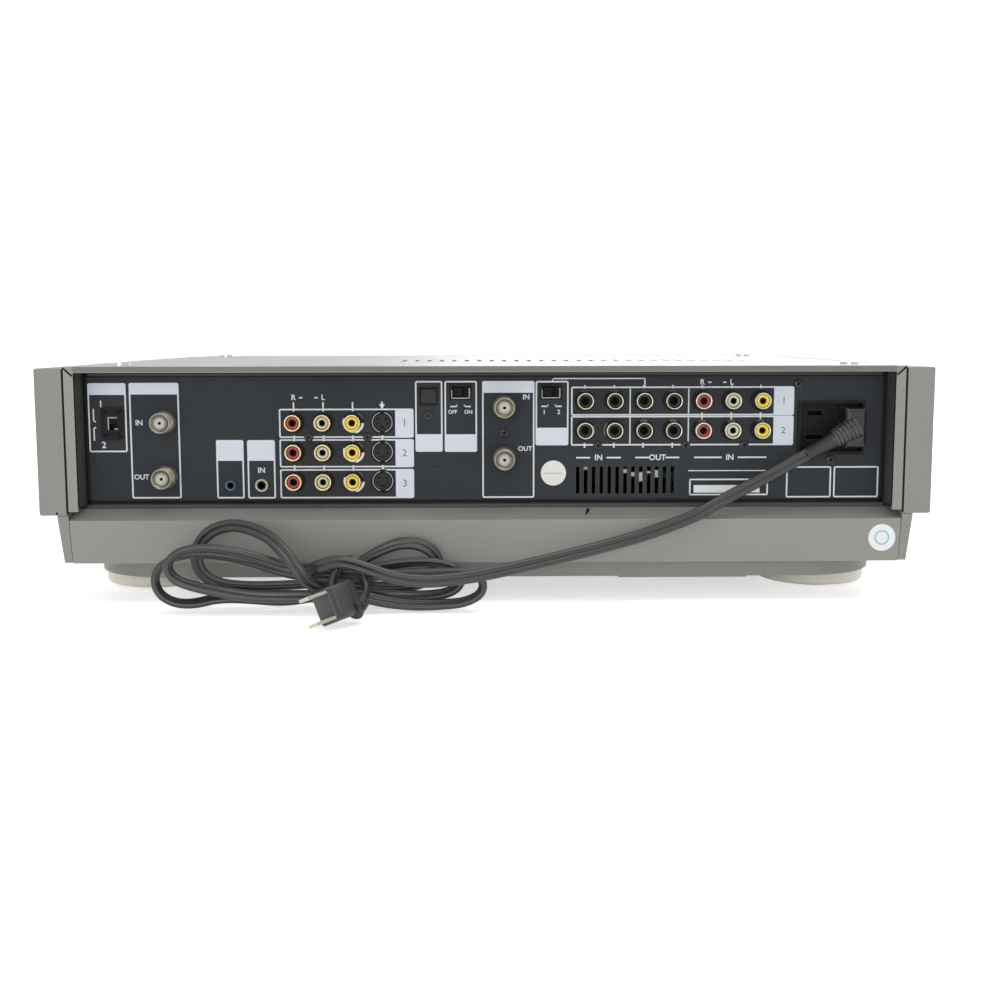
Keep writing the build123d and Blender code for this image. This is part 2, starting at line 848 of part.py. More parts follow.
# Mains block: rim through the panel, pocket, outlet slots
mains_x0 = mains_x - mains_width / 2
mains_x1 = mains_x + mains_width / 2
mains_z0 = mains_z - mains_height / 2
mains_z1 = mains_z + mains_height / 2
pocket_floor = panel_front - mains_pocket_depth
with BuildPart() as ac_socket_block:
    slab(mains_x0, mains_x1, panel_back - mains_depth, panel_front, mains_z0, mains_z1)
    with BuildSketch(Plane(origin=(mains_x, panel_back, mains_z), x_dir=(1, 0, 0), z_dir=(0, 1, 0))):
        RectangleRounded(mains_width, mains_height, mains_rim_round)
    extrude(amount=panel_front + mains_rim_projection - panel_back)
    slab(
        mains_x0 + mains_rim,
        mains_x1 - mains_rim,
        pocket_floor,
        panel_front + 2,
        mains_z0 + mains_rim,
        mains_z1 - mains_rim,
        mode=Mode.SUBTRACT,
    )
    for length, side in ((outlet_short_slot, 1), (outlet_long_slot, -1)):
        with Locations((outlet_x, pocket_floor, outlet_z + side * outlet_slot_spacing / 2)):
            Box(length, 2 * outlet_slot_depth, outlet_slot_thickness, mode=Mode.SUBTRACT)
save(ac_socket_block, "ac_socket_block")

# Cord connector: block in the inlet side of the pocket, ribbed strain relief towards the lead
relief_axis = Vector(*relief_tip) - Vector(*relief_root)
relief_length = relief_axis.length
rib_zone = relief_rib_count * relief_rib_pitch
with BuildPart() as cord_connector:
    slab(
        connector_x - connector_width / 2,
        connector_x + connector_width / 2,
        pocket_floor + seat_gap,
        pocket_floor + seat_gap + mains_pocket_depth + connector_projection,
        connector_z - connector_height / 2,
        connector_z + connector_height / 2,
    )
    fillet(cord_connector.faces().sort_by(Axis.Y)[-1].edges(), 2.5)
    side_dir = (Vector(0, 0, 1) - relief_axis.normalized() * relief_axis.normalized().Z).normalized()
    profile_plane = Plane(origin=relief_root, x_dir=relief_axis, z_dir=relief_axis.cross(side_dir))
    with BuildSketch(profile_plane):
        with BuildLine():
            outline = [(0, 0), (0, relief_root_radius)]
            for i in range(relief_rib_count):
                rib_start = (i + 0.5) * relief_rib_pitch
                rib_end = (i + 1) * relief_rib_pitch
                crest = relief_root_radius - i * relief_rib_step
                outline += [
                    (rib_start, crest),
                    (rib_start, crest - relief_rib_depth),
                    (rib_end, crest - relief_rib_depth),
                    (rib_end, crest - relief_rib_step),
                ]
            outline += [(rib_zone + relief_rib_pitch, relief_neck_radius), (relief_length, cord_radius)]
            Polyline(*outline, (relief_length, 0), close=True)
        make_face()
    revolve(axis=Axis(relief_root, relief_axis))
save(cord_connector, "cord_connector")


# Radius of each corner of a cord's route: 0.45 of its shorter run over the tangent of half its turn
def corner_radii(route):
    points = [Vector(*p) for p in route]
    radii = []
    for before, corner, after in zip(points, points[1:], points[2:]):
        run_in = corner - before
        run_out = after - corner
        half_turn = math.radians(run_in.get_angle(run_out)) / 2
        radii.append(0.45 * min(run_in.length, run_out.length) / math.tan(half_turn))
    return radii


def cord_tube(route, name):
    radii = corner_radii(route)
    start = Vector(*route[0])
    with BuildPart() as tube:
        with BuildLine() as path:
            FilletPolyline(*route, radius=radii)
        with BuildSketch(Plane(origin=start, z_dir=Vector(*route[1]) - start)):
            Circle(cord_radius)
        sweep()
    length = path.wires()[0].length
    expected = math.pi * cord_radius**2 * length
    print(name, "length", round(length, 1), "volume ratio", round(tube.part.volume / expected, 4))
    print(name, "radii", [round(r, 1) for r in radii])
    save(tube, name)
    return length


lead_length = cord_tube(lead_route, "power_lead")

# The hank's loops stand side by side behind the base, taller towards it, each one pitch further back
loop_floor_z = cord_radius + cord_floor_gap
hank_start = Vector(*lead_route[-1])
loop_y = [hank_start.Y - i * hank_pitch for i in range(hank_turns + 1)]
loop_radius = [hank_first_radius + i * hank_radius_step for i in range(hank_turns + 1)]
loop_left = [hank_left_x - hank_wander * (i % 2) for i in range(hank_turns + 1)]
loop_right = [hank_right_x + hank_wander * (i % 2) for i in range(hank_turns + 1)]
loop_top_z = [loop_floor_z + 2 * radius for radius in loop_radius]


def half_turn_arc(x, y, radius, side):
    ends = ((x, y, loop_floor_z + 2 * radius), (x, y, loop_floor_z))
    middle = (x + side * radius, y, loop_floor_z + radius)
    if side > 0:
        ThreePointArc(ends[0], middle, ends[1])
    else:
        ThreePointArc(ends[1], middle, ends[0])


def step_run(start, end):
    middle = (start + end) / 2
    along = Vector(-1, 0, 0)
    chord = (middle - start).normalized()
    TangentArc(start, middle, tangent=along)
    TangentArc(middle, end, tangent=chord * (2 * along.dot(chord)) - along)


with BuildPart() as power_hank:
    with BuildLine() as hank_path:
        Line(hank_start, (loop_left[0], loop_y[0], loop_top_z[0]))
        for i in range(hank_turns):
            half_turn_arc(loop_left[i], loop_y[i], loop_radius[i], 1)
            step_run(
                Vector(loop_left[i], loop_y[i], loop_floor_z),
                Vector(loop_right[i + 1], loop_y[i + 1], loop_floor_z),
            )
            half_turn_arc(loop_right[i + 1], loop_y[i + 1], loop_radius[i + 1], -1)
            run_end = loop_left[i + 1] if i < hank_turns - 1 else hank_end_x
            Line(
                (loop_right[i + 1], loop_y[i + 1], loop_top_z[i + 1]),
                (run_end, loop_y[i + 1], loop_top_z[i + 1]),
            )
    with BuildSketch(Plane(origin=hank_start, z_dir=(1, 0, 0))):
        Circle(cord_radius)
    sweep()
save(power_hank, "power_hank")


def least_gap(wire, samples):
    points = [wire.position_at(i / samples) for i in range(samples + 1)]
    spacing = wire.length / samples
    apart = int(4 * cord_radius * 2 / spacing)
    gap = min(
        (points[i] - points[j]).length
        for i in range(len(points))
        for j in range(i + apart, len(points))
    )
    return gap - 2 * cord_radius


hank_wire = hank_path.wires()[0]
hank_volume = math.pi * cord_radius**2 * hank_wire.length
hank_ratio = power_hank.part.volume / hank_volume
print("power_hank length", round(hank_wire.length, 1), "volume ratio", round(hank_ratio, 4))
print("power_hank least gap to itself", round(least_gap(hank_wire, 700), 2))

tail_length = cord_tube([(hank_end_x, loop_y[-1], loop_top_z[-1])] + tail_route, "plug_tail")
print("cord length", round(lead_length + hank_wire.length + tail_length, 1))

# Mains plug: moulded body, relief towards the tail, two flat blades
blade_axis = Vector(*plug_direction).normalized()
across = Vector(*plug_across)
across = (across - blade_axis * across.dot(blade_axis)).normalized()
plug_plane = Plane(origin=plug_face, x_dir=across, z_dir=blade_axis)
tail_axis = (Vector(*tail_route[-1]) - Vector(*tail_route[-2])).normalized()
with BuildPart() as mains_plug:
    with BuildSketch(plug_plane.offset(-plug_length)):
        Rectangle(plug_width, plug_thickness)
    extrude(amount=plug_length)
    fillet(mains_plug.edges(), plug_round)
    with BuildSketch(Plane(origin=tail_route[-1], z_dir=tail_axis)):
        Circle(cord_radius)
    with BuildSketch(Plane(origin=Vector(*tail_route[-1]) + tail_axis * plug_relief_length, z_dir=tail_axis)):
        Circle(plug_relief_root_radius)
    loft()
    with BuildSketch(plug_plane.offset(-blade_root)):
        with GridLocations(blade_spacing, 0, 2, 1):
            Rectangle(blade_thickness, blade_width)
    extrude(amount=blade_root + 1, mode=Mode.SUBTRACT)
save(mains_plug, "mains_plug")

with BuildPart() as plug_blades:
    with BuildSketch(plug_plane.offset(-blade_root)):
        with GridLocations(blade_spacing, 0, 2, 1):
            Rectangle(blade_thickness, blade_width)
    extrude(amount=blade_root + blade_length)
save(plug_blades, "plug_blades")

# Front panel: thick plate with top and bottom returns
fascia_z0 = base_z + fascia_bottom_rise
button_places = {
    "power_button": (wide_button_x, power_z, wide_button_width, wide_button_height),
    "eject_button": (wide_button_x, eject_z, wide_button_width, wide_button_height),
}
for i, key in enumerate(["record", "rewind", "stop", "play", "pause", "fast_forward"]):
    button_places[f"{key}_button"] = (key_first_x + i * key_pitch, key_z, key_width, key_height)
with BuildPart() as front_panel:
    slab(-inner_x, inner_x, front_y, fascia_back, fascia_z0, cover_z)
    fillet(front_panel.faces().sort_by(Axis.Y)[0].edges(), fascia_round)
    slab(-inner_x, inner_x, fascia_back, cover_front - seat_gap, cover_z - fascia_return, cover_z)
    low_x = inner_x - skirt_lean
    slab(-low_x, low_x, fascia_back, base_front, fascia_z0, fascia_z0 + fascia_return)
    cut_y = (front_y - 1, fascia_back + 1)
    for x, z, width, height in button_places.values():
        half_width = width / 2 + slide_gap
        half_height = height / 2 + slide_gap
        slab(x - half_width, x + half_width, *cut_y, z - half_height, z + half_height, mode=Mode.SUBTRACT)
    bay_x0 = bay_x - bay_width / 2
    bay_x1 = bay_x + bay_width / 2
    bay_z0 = bay_z - bay_height / 2
    bay_z1 = bay_z + bay_height / 2
    slab(bay_x0, bay_x1, *cut_y, bay_z0, bay_z1, mode=Mode.SUBTRACT)
    slab(
        window_x - window_width / 2,
        window_x + window_width / 2,
        front_y - 1,
        front_y + window_thickness,
        window_z - window_height / 2,
        window_z + window_height / 2,
        mode=Mode.SUBTRACT,
    )
    rod_y(dial_x, dial_z, dial_hole_radius, *cut_y, mode=Mode.SUBTRACT)
    rod_y(headphone_x, headphone_z, headphone_ring + jack_hole_clearance, *cut_y, mode=Mode.SUBTRACT)
save(front_panel, "front_panel")

with BuildPart() as display_window:
    slab(
        window_x - window_width / 2 + seat_gap,
        window_x + window_width / 2 - seat_gap,
        front_y,
        front_y + window_thickness,
        window_z - window_height / 2 + seat_gap,
        window_z + window_height / 2 - seat_gap,
    )
save(display_window, "display_window")

# Cassette door: a flap in the slot, hinged along its top edge
door_axis_z = bay_z1 - slide_gap - door_thickness / 2
door_y = front_y + seat_gap
with BuildPart() as cassette_door:
    door_x0 = bay_x0 + slide_gap
    door_x1 = bay_x1 - slide_gap
    slab(door_x0, door_x1, door_y, door_y + door_thickness, bay_z0 + slide_gap, door_axis_z)
    rod_x(door_y + door_thickness / 2, door_axis_z, door_thickness / 2, door_x0, door_x1)
save(cassette_door, "cassette_door")

# Buttons: cap through the plate, wider flange behind it
for name, (x, z, width, height) in button_places.items():
    with BuildPart() as button:
        y1 = fascia_back + seat_gap
        cap_y0 = front_y - button_projection
        slab(x - width / 2, x + width / 2, cap_y0, y1, z - height / 2, z + height / 2)
        fillet(button.faces().sort_by(Axis.Y)[0].edges(), 0.6)
        half_width = width / 2 + button_flange
        half_height = height / 2 + button_flange
        slab(
            x - half_width,
            x + half_width,
            y1,
            y1 + button_flange_thickness,
            z - half_height,
            z + half_height,
        )
    save(button, name)

# Shuttle ring round a jog dial
ring_back = front_y - seat_gap
ring_face = front_y - shuttle_projection
with BuildPart() as shuttle_ring:
    rod_y(dial_x, dial_z, shuttle_radius, ring_face, ring_back)
    fillet(shuttle_ring.faces().sort_by(Axis.Y)[0].edges(), 1.5)
    rod_y(dial_x, dial_z, dial_hole_radius - slide_gap, ring_back, fascia_back)
    rod_y(dial_x, dial_z, jog_radius + jog_gap, ring_face - 1, ring_back - 3, mode=Mode.SUBTRACT)
    rod_y(dial_x, dial_z, jog_shaft_radius + shaft_gap, ring_face - 1, fascia_back + 1, mode=Mode.SUBTRACT)
save(shuttle_ring, "shuttle_ring")

with BuildPart() as jog_dial:
    rod_y(dial_x, dial_z, jog_radius, front_y - dial_projection, ring_back - 3 - seat_gap)
    fillet(jog_dial.faces().sort_by(Axis.Y)[0].edges(), 1.5)
    rod_y(dial_x, dial_z, jog_shaft_radius, ring_back - 3 - seat_gap, fascia_back)
save(jog_dial, "jog_dial")

with BuildPart() as headphone_jack:
    rod_y(headphone_x, headphone_z, headphone_ring, front_y - 1, fascia_back)
    body = headphone_ring + 1
    body_y1 = base_front - seat_gap
    slab(headphone_x - body, headphone_x + body, fascia_back, body_y1, headphone_z - body, headphone_z + body)
    rod_y(headphone_x, headphone_z, headphone_bore, front_y - 2, base_front - 2, mode=Mode.SUBTRACT)
save(headphone_jack, "headphone_jack")

# Mechanism deck on four legs, with holes for the shafts that turn in it
deck_top = mech_plate_z + mech_plate_thickness
holder_half = cassette_width / 2 + holder_gap + holder_wall
holder_rear_y = holder_front_y + cassette_depth
reel_y = holder_front_y + reel_setback
reel_places = {
    "supply_reel_table": (bay_x - reel_spacing / 2, reel_y),
    "take_up_reel_table": (bay_x + reel_spacing / 2, reel_y),
}
deck_x0 = bay_x - holder_half - deck_side_margin
deck_x1 = bay_x + holder_half + deck_side_margin
deck_y0 = holder_front_y - deck_front_margin
deck_y1 = drum_y + drum_radius + deck_rear_margin
with BuildPart() as mech_deck:
    slab(deck_x0, deck_x1, deck_y0, deck_y1, mech_plate_z, deck_top)
    for x in (deck_x0 + mech_leg_radius, deck_x1 - mech_leg_radius):
        for y in (deck_y0 + mech_leg_radius, deck_y1 - mech_leg_radius):
            rod_z(x, y, mech_leg_radius, base_inside, mech_plate_z)
    rail_reach = holder_half + guide_width
    for side in (-1, 1):
        rail_x = sorted((bay_x + side * rail_reach, bay_x + side * (rail_reach + rail_thickness)))
        slab(*rail_x, holder_front_y + rail_inset, holder_rear_y - rail_inset, deck_top, bay_z1 + rail_rise)
    for x, y in reel_places.values():
        rod_z(x, y, reel_shaft_radius + shaft_gap, mech_plate_z - 1, deck_top + 1, mode=Mode.SUBTRACT)
    shaft_hole = capstan_radius + shaft_gap
    rod_z(capstan_x, capstan_y, shaft_hole, mech_plate_z - 1, deck_top + 1, mode=Mode.SUBTRACT)
save(mech_deck, "mech_deck")

for name, (x, y) in reel_places.items():
    with BuildPart() as reel_table:
        reel_z = deck_top + seat_gap
        rod_z(x, y, reel_radius, reel_z, reel_z + reel_height)
        rod_z(x, y, reel_spindle_radius, reel_z + reel_height, reel_z + reel_height + reel_spindle_height)
        rod_z(x, y, reel_shaft_radius, reel_z - reel_shaft_length, reel_z)
    save(reel_table, name)

with BuildPart() as drum_base:
    drum_base_top = deck_top + drum_base_height
    rod_z(bay_x, drum_y, drum_radius, deck_top, drum_base_top)
    rod_z(bay_x, drum_y, drum_shaft_radius + shaft_gap, deck_top + 1, drum_base_top + 1, mode=Mode.SUBTRACT)
save(drum_base, "drum_base")

with BuildPart() as head_drum:
    drum_z = drum_base_top + seat_gap
    rod_z(bay_x, drum_y, drum_radius, drum_z, drum_z + drum_height)
    chamfer(head_drum.edges().group_by(Axis.Z)[-1], 0.8)
    rod_z(bay_x, drum_y, drum_shaft_radius, drum_z - drum_shaft_length, drum_z)
save(head_drum, "head_drum")

with BuildPart() as capstan_flywheel:
    wheel_z = mech_plate_z - seat_gap
    rod_z(capstan_x, capstan_y, flywheel_radius, wheel_z - flywheel_height, wheel_z)
    rod_z(capstan_x, capstan_y, capstan_radius, wheel_z, deck_top + capstan_height)
save(capstan_flywheel, "capstan_flywheel")

# Cassette holder: side channels and a top bridge, open to the front and below; it sinks onto the deck
holder_z0 = bay_z - cassette_thickness / 2 - holder_gap - holder_wall
holder_z1 = bay_z + cassette_thickness / 2 + holder_gap
lip_z = holder_z1 + holder_wall
with BuildPart() as cassette_holder:
    slab(bay_x - holder_half, bay_x + holder_half, holder_front_y, holder_rear_y, holder_z0, lip_z)
    slab(
        bay_x - holder_half + holder_wall,
        bay_x + holder_half - holder_wall,
        holder_front_y - 1,
        holder_rear_y + 1,
        holder_z0 + holder_wall,
        holder_z1,
        mode=Mode.SUBTRACT,
    )
    ledge_x = holder_half - holder_ledge
    slab(
        bay_x - ledge_x,
        bay_x + ledge_x,
        holder_front_y - 1,
        holder_rear_y + 1,
        holder_z0 - 1,
        holder_z0 + holder_wall,
        mode=Mode.SUBTRACT,
    )
    slab(
        bay_x - ledge_x,
        bay_x + ledge_x,
        holder_front_y + holder_bridge,
        holder_rear_y - holder_bridge,
        holder_z1 - 1,
        lip_z + 1,
        mode=Mode.SUBTRACT,
    )
    for side in (-1, 1):
        guide_end = holder_half + guide_width - seat_gap
        guide_x = sorted((bay_x + side * holder_half, bay_x + side * guide_end))
        slab(
            *guide_x,
            holder_front_y + guide_inset,
            holder_rear_y - guide_inset,
            holder_z0 + holder_wall,
            holder_z1 - holder_wall,
        )
save(cassette_holder, "cassette_holder")

# Main board with the tuner can behind the aerial sockets, chips and two rows of capacitors
with BuildPart() as main_board:
    slab(main_board_x0, main_board_x1, main_board_y0, main_board_y1, board_z, board_z + board_thickness)
    top = board_z + board_thickness
    can_x = (uhf_x - tuner_width / 2, uhf_x + tuner_width / 2)
    slab(*can_x, main_board_y1 - tuner_length, main_board_y1, top, uhf_top_z + tuner_width / 3)
    for i in range(4):
        for j in range(3):
            chip_x = main_board_x0 + (i + 0.5) * chip_pitch_x
            chip_y = main_board_y0 + (j + 0.5) * chip_pitch_y
            slab(chip_x, chip_x + chip_size, chip_y, chip_y + chip_size, top, top + chip_height)
    for i in range(5):
        capacitor_x = main_board_x0 + (i + 0.9) * capacitor_pitch
        capacitor_y = main_board_y1 - capacitor_setback
        rod_z(capacitor_x, capacitor_y, capacitor_radius, top, top + capacitor_height)
        rod_z(capacitor_x, capacitor_y + capacitor_pitch, capacitor_radius, top, top + capacitor_height)
save(main_board, "main_board")

# Power supply board with its transformer, heat sink and large capacitors
with BuildPart() as power_supply:
    slab(supply_x0, supply_x1, supply_y0, supply_y1, board_z, board_z + board_thickness)
    top = board_z + board_thickness
    core_x1 = supply_x0 + transformer_inset + transformer_width
    core_y0 = supply_y1 - transformer_inset - transformer_length
    core_y1 = supply_y1 - transformer_inset
    slab(supply_x0 + transformer_inset, core_x1, core_y0, core_y1, top, top + transformer_height)
    winding_y = (core_y0 + transformer_inset, core_y1 - transformer_inset)
    winding_z = (top + transformer_inset / 2, top + transformer_height - transformer_inset / 2)
    slab(supply_x0 + transformer_inset / 2, core_x1 + transformer_inset / 2, *winding_y, *winding_z)
    sink_x = supply_x1 - sink_setback
    sink_y = (supply_y0 + sink_setback, supply_y1 - sink_setback)
    slab(sink_x, sink_x + sink_thickness, *sink_y, top, top + sink_height)
    for i in range(3):
        large_x = supply_x0 + (i + 0.9) * large_capacitor_pitch
        large_y = supply_y0 + large_capacitor_pitch
        rod_z(large_x, large_y, large_capacitor_radius, top, top + large_capacitor_height)
save(power_supply, "power_supply")
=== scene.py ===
import bmesh
import bpy
import math
from mathutils import Matrix, Vector


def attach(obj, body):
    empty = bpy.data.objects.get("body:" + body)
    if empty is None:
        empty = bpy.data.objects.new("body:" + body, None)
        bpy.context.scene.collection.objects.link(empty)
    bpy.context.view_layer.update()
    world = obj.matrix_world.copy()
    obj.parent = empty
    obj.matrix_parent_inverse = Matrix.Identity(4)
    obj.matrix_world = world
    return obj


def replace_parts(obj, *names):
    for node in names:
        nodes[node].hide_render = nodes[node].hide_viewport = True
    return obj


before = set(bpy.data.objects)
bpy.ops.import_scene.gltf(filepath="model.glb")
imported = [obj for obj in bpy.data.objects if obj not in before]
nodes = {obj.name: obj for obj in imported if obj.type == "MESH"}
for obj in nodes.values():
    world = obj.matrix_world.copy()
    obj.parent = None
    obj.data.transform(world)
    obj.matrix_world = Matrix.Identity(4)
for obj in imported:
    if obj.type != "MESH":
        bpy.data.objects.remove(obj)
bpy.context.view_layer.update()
mm = 0.001


def new_object(name, data):
    made = bpy.data.objects.new(name, data)
    bpy.context.scene.collection.objects.link(made)
    return made


# Camera at the photograph's viewing angle
camera_place = Vector((1.72, 873.85, 137.69)) * mm
camera_lens = 48.01
camera_pitch = math.radians(7.013)
camera_yaw = math.radians(0.732)
camera_roll = math.radians(0.088)

camera_data = bpy.data.cameras.new("camera")
camera_data.lens = camera_lens
camera_data.sensor_width = 36
camera_data.clip_start = 0.01
camera = new_object("camera", camera_data)
camera.location = camera_place
camera.rotation_euler = (math.pi / 2 - camera_pitch, camera_roll, math.pi - camera_yaw)
bpy.context.scene.camera = camera
bpy.context.scene.view_settings.view_transform = "Standard"

# Levels and places shared with the CAD, in mm
panel_face = 177.5
base_rear = 192.5
front_face = -177.5
jack_pitch_x = 15.35
jack_pitch_z = 15.4
line_jack_x = [100.4 - i * jack_pitch_x for i in range(4)]
line_jack_z = [93.05 - i * jack_pitch_z for i in range(3)]
decoder_jack_x = [-51.35 - i * jack_pitch_x for i in range(7)]
decoder_jack_z = [104.1 - i * jack_pitch_z for i in range(2)]
aerial_places = [(167.5, 93.5), (167.5, 64.7), (-9.3, 101.0), (-9.3, 74.1)]


# Materials: shared effects first
def effect_group(name, inputs, outputs):
    group = bpy.data.node_groups.new(name, "ShaderNodeTree")
    for socket_name, value in inputs:
        kind = "NodeSocketFloat" if isinstance(value, float) else "NodeSocketVector"
        socket = group.interface.new_socket(name=socket_name, in_out="INPUT", socket_type=kind)
        if value is not None:
            socket.default_value = value
    for socket_name in outputs:
        group.interface.new_socket(name=socket_name, in_out="OUTPUT", socket_type="NodeSocketFloat")
    start = group.nodes.new("NodeGroupInput")
    end = group.nodes.new("NodeGroupOutput")
    return group, start.outputs, end.inputs


def set_or_link(tree, socket, value):
    if isinstance(value, (int, float)):
        socket.default_value = value
    elif value is not None:
        tree.links.new(value, socket)


def math_node(tree, operation, first, second=None, clamp=False):
    node = tree.nodes.new("ShaderNodeMath")
    node.operation = operation
    node.use_clamp = clamp
    set_or_link(tree, node.inputs[0], first)
    set_or_link(tree, node.inputs[1], second)
    return node.outputs[0]


def noise_node(tree, vector, scale, detail=2.0, roughness=0.5):
    node = tree.nodes.new("ShaderNodeTexNoise")
    tree.links.new(vector, node.inputs["Vector"])
    for name, value in (("Scale", scale), ("Detail", detail), ("Roughness", roughness)):
        set_or_link(tree, node.inputs[name], value)
    return node.outputs["Fac"]


# Fine orange-peel grain of sprayed or moulded surfaces, with slow patches
grain, start, end = effect_group(
    "surface_grain",
    [("Vector", None), ("Grain", 1500.0), ("Patch", 18.0)],
    ("Height", "Speck", "Patch"),
)
grain.links.new(noise_node(grain, start["Vector"], start["Grain"], 1.0), end["Height"])
speck_size = math_node(grain, "MULTIPLY", start["Grain"], 0.45)
speck = noise_node(grain, start["Vector"], speck_size, 2.0, 0.7)
grain.links.new(math_node(grain, "SUBTRACT", speck, 0.5), end["Speck"])
patch = noise_node(grain, start["Vector"], start["Patch"], 4.0, 0.6)
grain.links.new(math_node(grain, "SUBTRACT", patch, 0.5), end["Patch"])

# Rubbed edges and corners, also used as painted highlights along edges
edges, start, end = effect_group(
    "rubbed_and_highlit_edges",
    [("Vector", None), ("Radius", 0.0006)],
    ("Edge",),
)
bevel = edges.nodes.new("ShaderNodeBevel")
bevel.samples = 4
edges.links.new(start["Radius"], bevel.inputs["Radius"])
geometry = edges.nodes.new("ShaderNodeNewGeometry")
dot = edges.nodes.new("ShaderNodeVectorMath")
dot.operation = "DOT_PRODUCT"
edges.links.new(bevel.outputs[0], dot.inputs[0])
edges.links.new(geometry.outputs["Normal"], dot.inputs[1])
turned_away = math_node(edges, "SUBTRACT", 1.0, dot.outputs["Value"], clamp=True)
broken = math_node(edges, "MULTIPLY", noise_node(edges, start["Vector"], 220.0, 3.0, 0.7), 2.2)
edge_mask = math_node(edges, "MULTIPLY", math_node(edges, "MULTIPLY", turned_away, 2.4), broken, clamp=True)
edges.links.new(edge_mask, end["Edge"])

# Dust on faces that look up, and short pale scuffs
scuff_stretch = (1.0, 1.0, 6.0)
scuff_turn = (0.0, 0.6, 0.0)
scuff_floor = 0.66
dust, start, end = effect_group(
    "dust_and_scuffs",
    [("Vector", None), ("Scuff Size", 60.0)],
    ("Dust", "Scuff"),
)
geometry = dust.nodes.new("ShaderNodeNewGeometry")
parts = dust.nodes.new("ShaderNodeSeparateXYZ")
dust.links.new(geometry.outputs["Normal"], parts.inputs[0])
lint = math_node(dust, "MULTIPLY", noise_node(dust, start["Vector"], 700.0, 4.0, 0.8), 0.7)
level = math_node(dust, "MAXIMUM", parts.outputs["Z"], 0.0)
dust.links.new(math_node(dust, "MULTIPLY", level, lint, clamp=True), end["Dust"])
streaks = dust.nodes.new("ShaderNodeMapping")
streaks.inputs["Scale"].default_value = scuff_stretch
streaks.inputs["Rotation"].default_value = scuff_turn
dust.links.new(start["Vector"], streaks.inputs["Vector"])
thin = noise_node(dust, streaks.outputs[0], start["Scuff Size"], 3.0, 0.65)
thin = math_node(dust, "SUBTRACT", thin, scuff_floor)
dust.links.new(math_node(dust, "MULTIPLY", thin, 9.0, clamp=True), end["Scuff"])

# Fine parallel lines of brushed or turned metal
brushed, start, end = effect_group(
    "brushed_lines",
    [("Vector", None), ("Stretch", (1.0, 40.0, 40.0))],
    ("Lines",),
)
stretch = brushed.nodes.new("ShaderNodeVectorMath")
stretch.operation = "MULTIPLY"
brushed.links.new(start["Vector"], stretch.inputs[0])
brushed.links.new(start["Stretch"], stretch.inputs[1])
brushed.links.new(noise_node(brushed, stretch.outputs[0], 60.0, 3.0, 0.6), end["Lines"])

dust_colour = (0.62, 0.6, 0.56)
scuff_colour = (0.6, 0.6, 0.58)
bump_depth = 0.0001
finishes = {}


def finish(
    name, colour, rough, metallic=0.0, grain_size=1500.0, bump=0.15, variation=0.06, edge=None,
    edge_radius=0.0006, dust_share=0.0, scuff_share=0.0, lines=None, coat=0.0, coat_rough=0.08, specular=0.5,
):
    """A procedural finish on Object coordinates: patches and specks, rubbed edges that also serve as painted
    highlights, dust and relief.
    """
    material = bpy.data.materials.new(name)
    material.use_nodes = True
    tree = material.node_tree
    shader = tree.nodes["Principled BSDF"]
    shader.inputs["Metallic"].default_value = metallic
    shader.inputs["Coat Weight"].default_value = coat
    shader.inputs["Coat Roughness"].default_value = coat_rough
    shader.inputs["Specular IOR Level"].default_value = specular
    place = tree.nodes.new("ShaderNodeTexCoord").outputs["Object"]

    def effect(group, **values):
        node = tree.nodes.new("ShaderNodeGroup")
        node.node_tree = group
        tree.links.new(place, node.inputs["Vector"])
        for key, value in values.items():
            node.inputs[key].default_value = value
        return node.outputs

    def mixed(first, second, share):
        node = tree.nodes.new("ShaderNodeMix")
        node.data_type = "RGBA"
        for socket, value in ((node.inputs[6], first), (node.inputs[7], second)):
            if isinstance(value, tuple):
                socket.default_value = (*value, 1.0)
            else:
                tree.links.new(value, socket)
        tree.links.new(share, node.inputs[0])
        return node.outputs[2]

    def add(first, second, clamp=False):
        return math_node(tree, "ADD", first, second, clamp)

    def times(first, second):
        return math_node(tree, "MULTIPLY", first, second)

    surface = effect(grain, Grain=grain_size)
    shade = add(times(surface["Speck"], variation * 2.0), times(surface["Patch"], variation * 1.5))
    share = add(shade, 0.5, clamp=True)
    spread = 2.5 * variation
    darker = tuple(c * (1 - spread) for c in colour)
    lighter = tuple(min(1.0, c * (1 + spread) + 0.015 * variation) for c in colour)
    base = mixed(darker, lighter, share)
    roughness = add(times(surface["Patch"], 0.35), rough, clamp=True)
    if edge:
        base = mixed(base, edge, effect(edges, Radius=edge_radius)["Edge"])
    if dust_share or scuff_share:
        marks = effect(dust)
        if dust_share:
            base = mixed(base, dust_colour, times(marks["Dust"], dust_share))
        if scuff_share:
            base = mixed(base, scuff_colour, times(marks["Scuff"], scuff_share))
    height = surface["Height"]
    if lines:
        fine_lines = effect(brushed, Stretch=lines)["Lines"]
        height = add(times(fine_lines, 2.0), times(height, 0.3))
        streak = times(math_node(tree, "SUBTRACT", fine_lines, 0.5), 0.3)
        roughness = add(roughness, streak, clamp=True)
    relief = tree.nodes.new("ShaderNodeBump")
    relief.inputs["Strength"].default_value = bump
    relief.inputs["Distance"].default_value = bump_depth
    tree.links.new(height, relief.inputs["Height"])
    tree.links.new(base, shader.inputs["Base Color"])
    tree.links.new(roughness, shader.inputs["Roughness"])
    tree.links.new(relief.outputs[0], shader.inputs["Normal"])
    finishes[name] = material


# Values that several finishes share
painted = {"bump": 0.2, "grain_size": 1700.0}
plated = {"metallic": 1.0, "grain_size": 900.0, "edge_radius": 0.0003}
moulded = {"bump": 0.08, "edge_radius": 0.0003}
flat_ink = {"bump": 0.1, "variation": 0.03}

